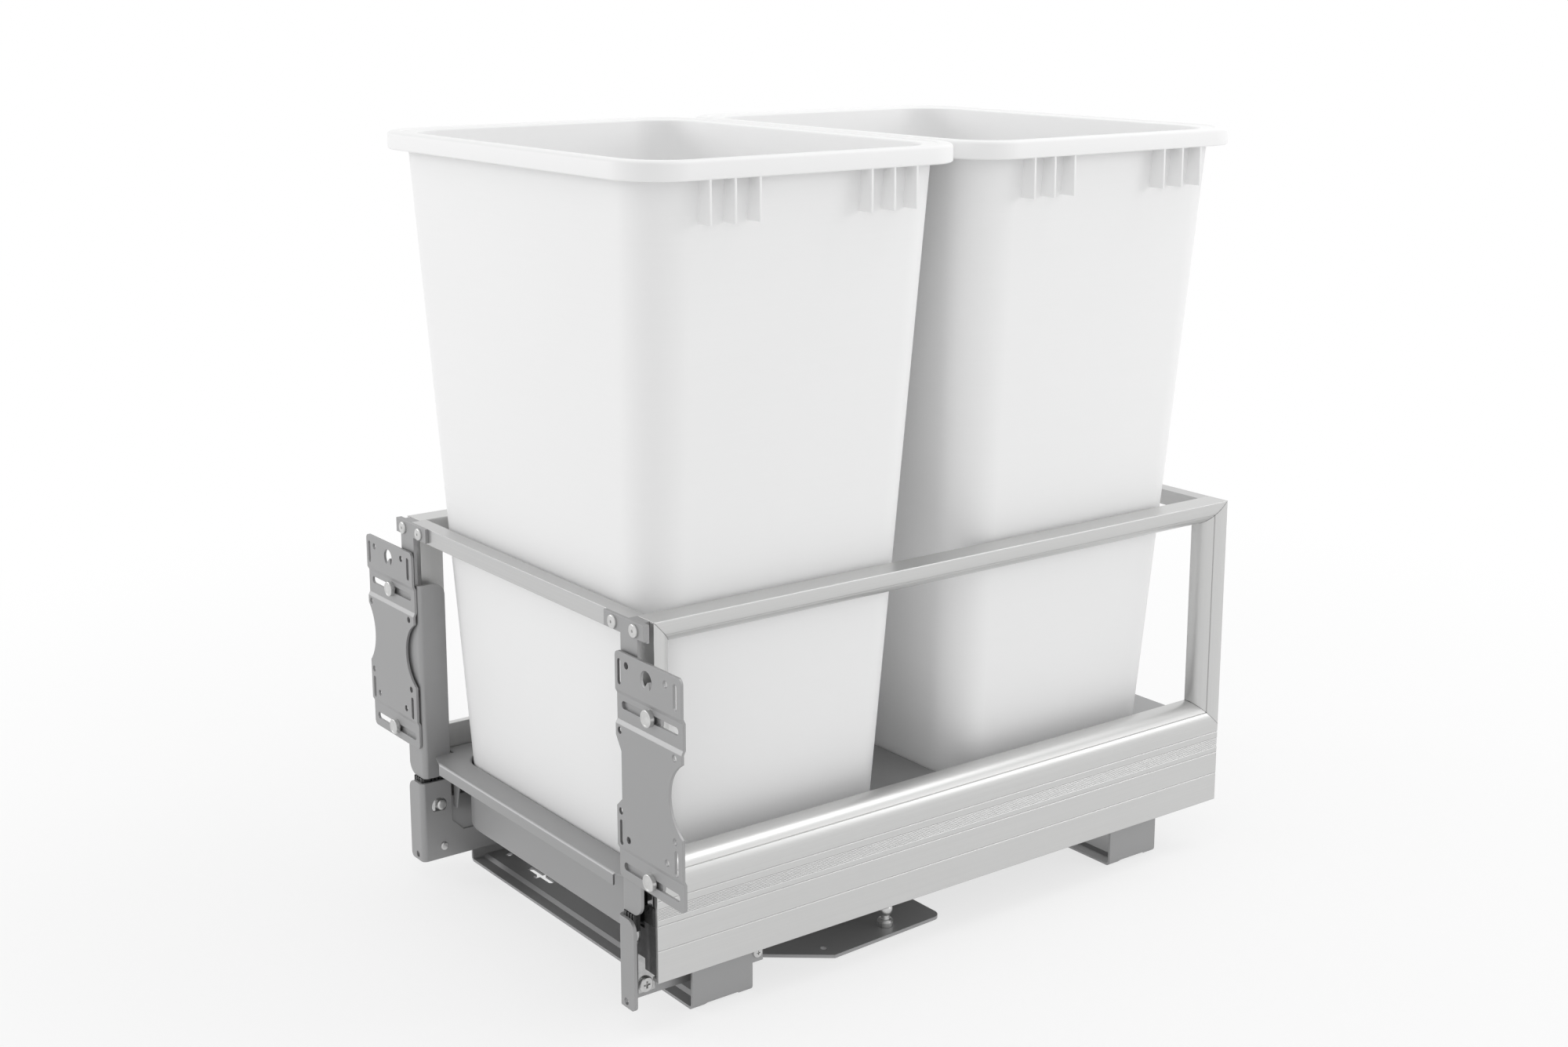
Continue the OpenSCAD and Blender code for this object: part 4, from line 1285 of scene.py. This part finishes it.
@dataclass
class Studio:
    """A plain pale floor, soft light and the camera at the photograph's angle, in metres."""

    camera_place: Place = (1.2736, -0.9809, 0.6998)
    yaw: float = 53.3
    pitch: float = 12.05
    lens: float = 48.17
    shift: float = -0.06
    ambient: float = 0.78
    floor_z: float = -0.0005
    floor_r: float = 6.0
    floor_tone: Colour = (0.88, 0.88, 0.88)
    floor_white: float = 0.7  # the white share of the floor near the part
    floor_fade: tuple[float, float] = (0.45, 1.3)  # from there on it turns white, and is white
    aim: Place = (0, 0, 0.3)
    lamps: tuple[Lamp, ...] = (
        Lamp("key", (-2.0, -2.0, 1.1), 1.0, 15), Lamp("side", (1.8, 1.7, 1.1), 0.9, 7),
        Lamp("top", (0.45, 1.0, 2.2), 0.9, 9))

    def world(self) -> None:
        """White to the eye and in reflections, and a softer light on the rest."""
        world = bpy.context.scene.world or bpy.data.worlds.new("studio")
        bpy.context.scene.world = world
        world.use_nodes = True
        nodes = Nodes(world.node_tree)
        nodes.tree.nodes.clear()
        soft, white = (
            nodes.value("ShaderNodeBackground", {}, {"Color": WHITE, "Strength": strength})
            for strength in (self.ambient, 1.0))
        mix = nodes.value("ShaderNodeMixShader", {}, {0: nodes.shows_white(), 1: soft, 2: white})
        nodes.node("ShaderNodeOutputWorld", {}, {"Surface": mix})

    def floor(self) -> None:
        """A pale floor that keeps the shadow and fades into the white background."""
        Workpiece.clear_bench()
        bpy.ops.mesh.primitive_circle_add(
            vertices=96, radius=self.floor_r, fill_type="NGON", location=(0, 0, self.floor_z))
        floor = Workpiece("floor")
        shader = Shader("pale_floor")
        shader.finish({
            "Base Color": (*self.floor_tone, 1), "Roughness": 0.8, "Specular IOR Level": 0.1})
        point = shader.value("ShaderNodeTexCoord", {}, {}, "Object")
        reach = shader.value("ShaderNodeVectorMath", {"operation": "LENGTH"}, {0: point}, "Value")
        share = reach.between(*self.floor_fade) * (1 - self.floor_white) + self.floor_white
        pale = Value(shader, shader.surface.outputs[0])
        white = shader.value("ShaderNodeEmission", {}, {"Color": WHITE, "Strength": 1.0})
        mix = shader.value(
            "ShaderNodeMixShader", {}, {0: shader.shows_white() * share, 1: pale, 2: white})
        shader.feed(shader.tree.nodes["Material Output"], {"Surface": mix})
        floor.rest().data.materials.append(shader.material)

    def camera(self) -> None:
        """The camera, at the photograph's angle."""
        data = bpy.data.cameras.new("photo_angle")
        data.lens, data.shift_y = self.lens, self.shift
        camera = bpy.data.objects.new("photo_angle", data)
        camera.location = self.camera_place
        camera.rotation_euler = (math.radians(90 - self.pitch), 0, math.radians(self.yaw))
        bpy.context.collection.objects.link(camera)
        bpy.context.scene.camera = camera

    def build(self) -> None:
        """Sets up the studio."""
        bpy.context.scene.view_settings.view_transform = "Standard"
        self.world()
        self.floor()
        for lamp in self.lamps:
            lamp.hang(Vector(self.aim))
        self.camera()


def dress_nodes(finishes: Finishes) -> None:
    """Gives every CAD node its finish.

    Args:
        finishes: The finishes to choose from.
    """
    slots = {part["node"]: part["material_slot"] for part in frame["record"]["subparts"]}
    for node, obj in frame["nodes"].items():
        material = finishes.of_slot(slots[node], node)
        obj.data.materials.clear()
        obj.data.materials.append(material)
        LOG.info("%s: %s", node, material.name)


def main() -> None:
    """Builds the pieces in order and reports each."""
    logging.basicConfig(level=logging.INFO, format="%(name)s %(message)s")
    finishes = Finishes()
    dress_nodes(finishes)
    tray = PressedTray()
    for place, tub_y in zip(("front", "rear"), tray.tub_ys):
        WasteBin(f"moulded_bin_{place}", f"{place}_bin", tub_y).build(finishes)
    tray.build(finishes)
    Fasteners().build(finishes)
    BallStud().build(finishes)
    Studio().build()


if __name__ == "__main__":
    main()
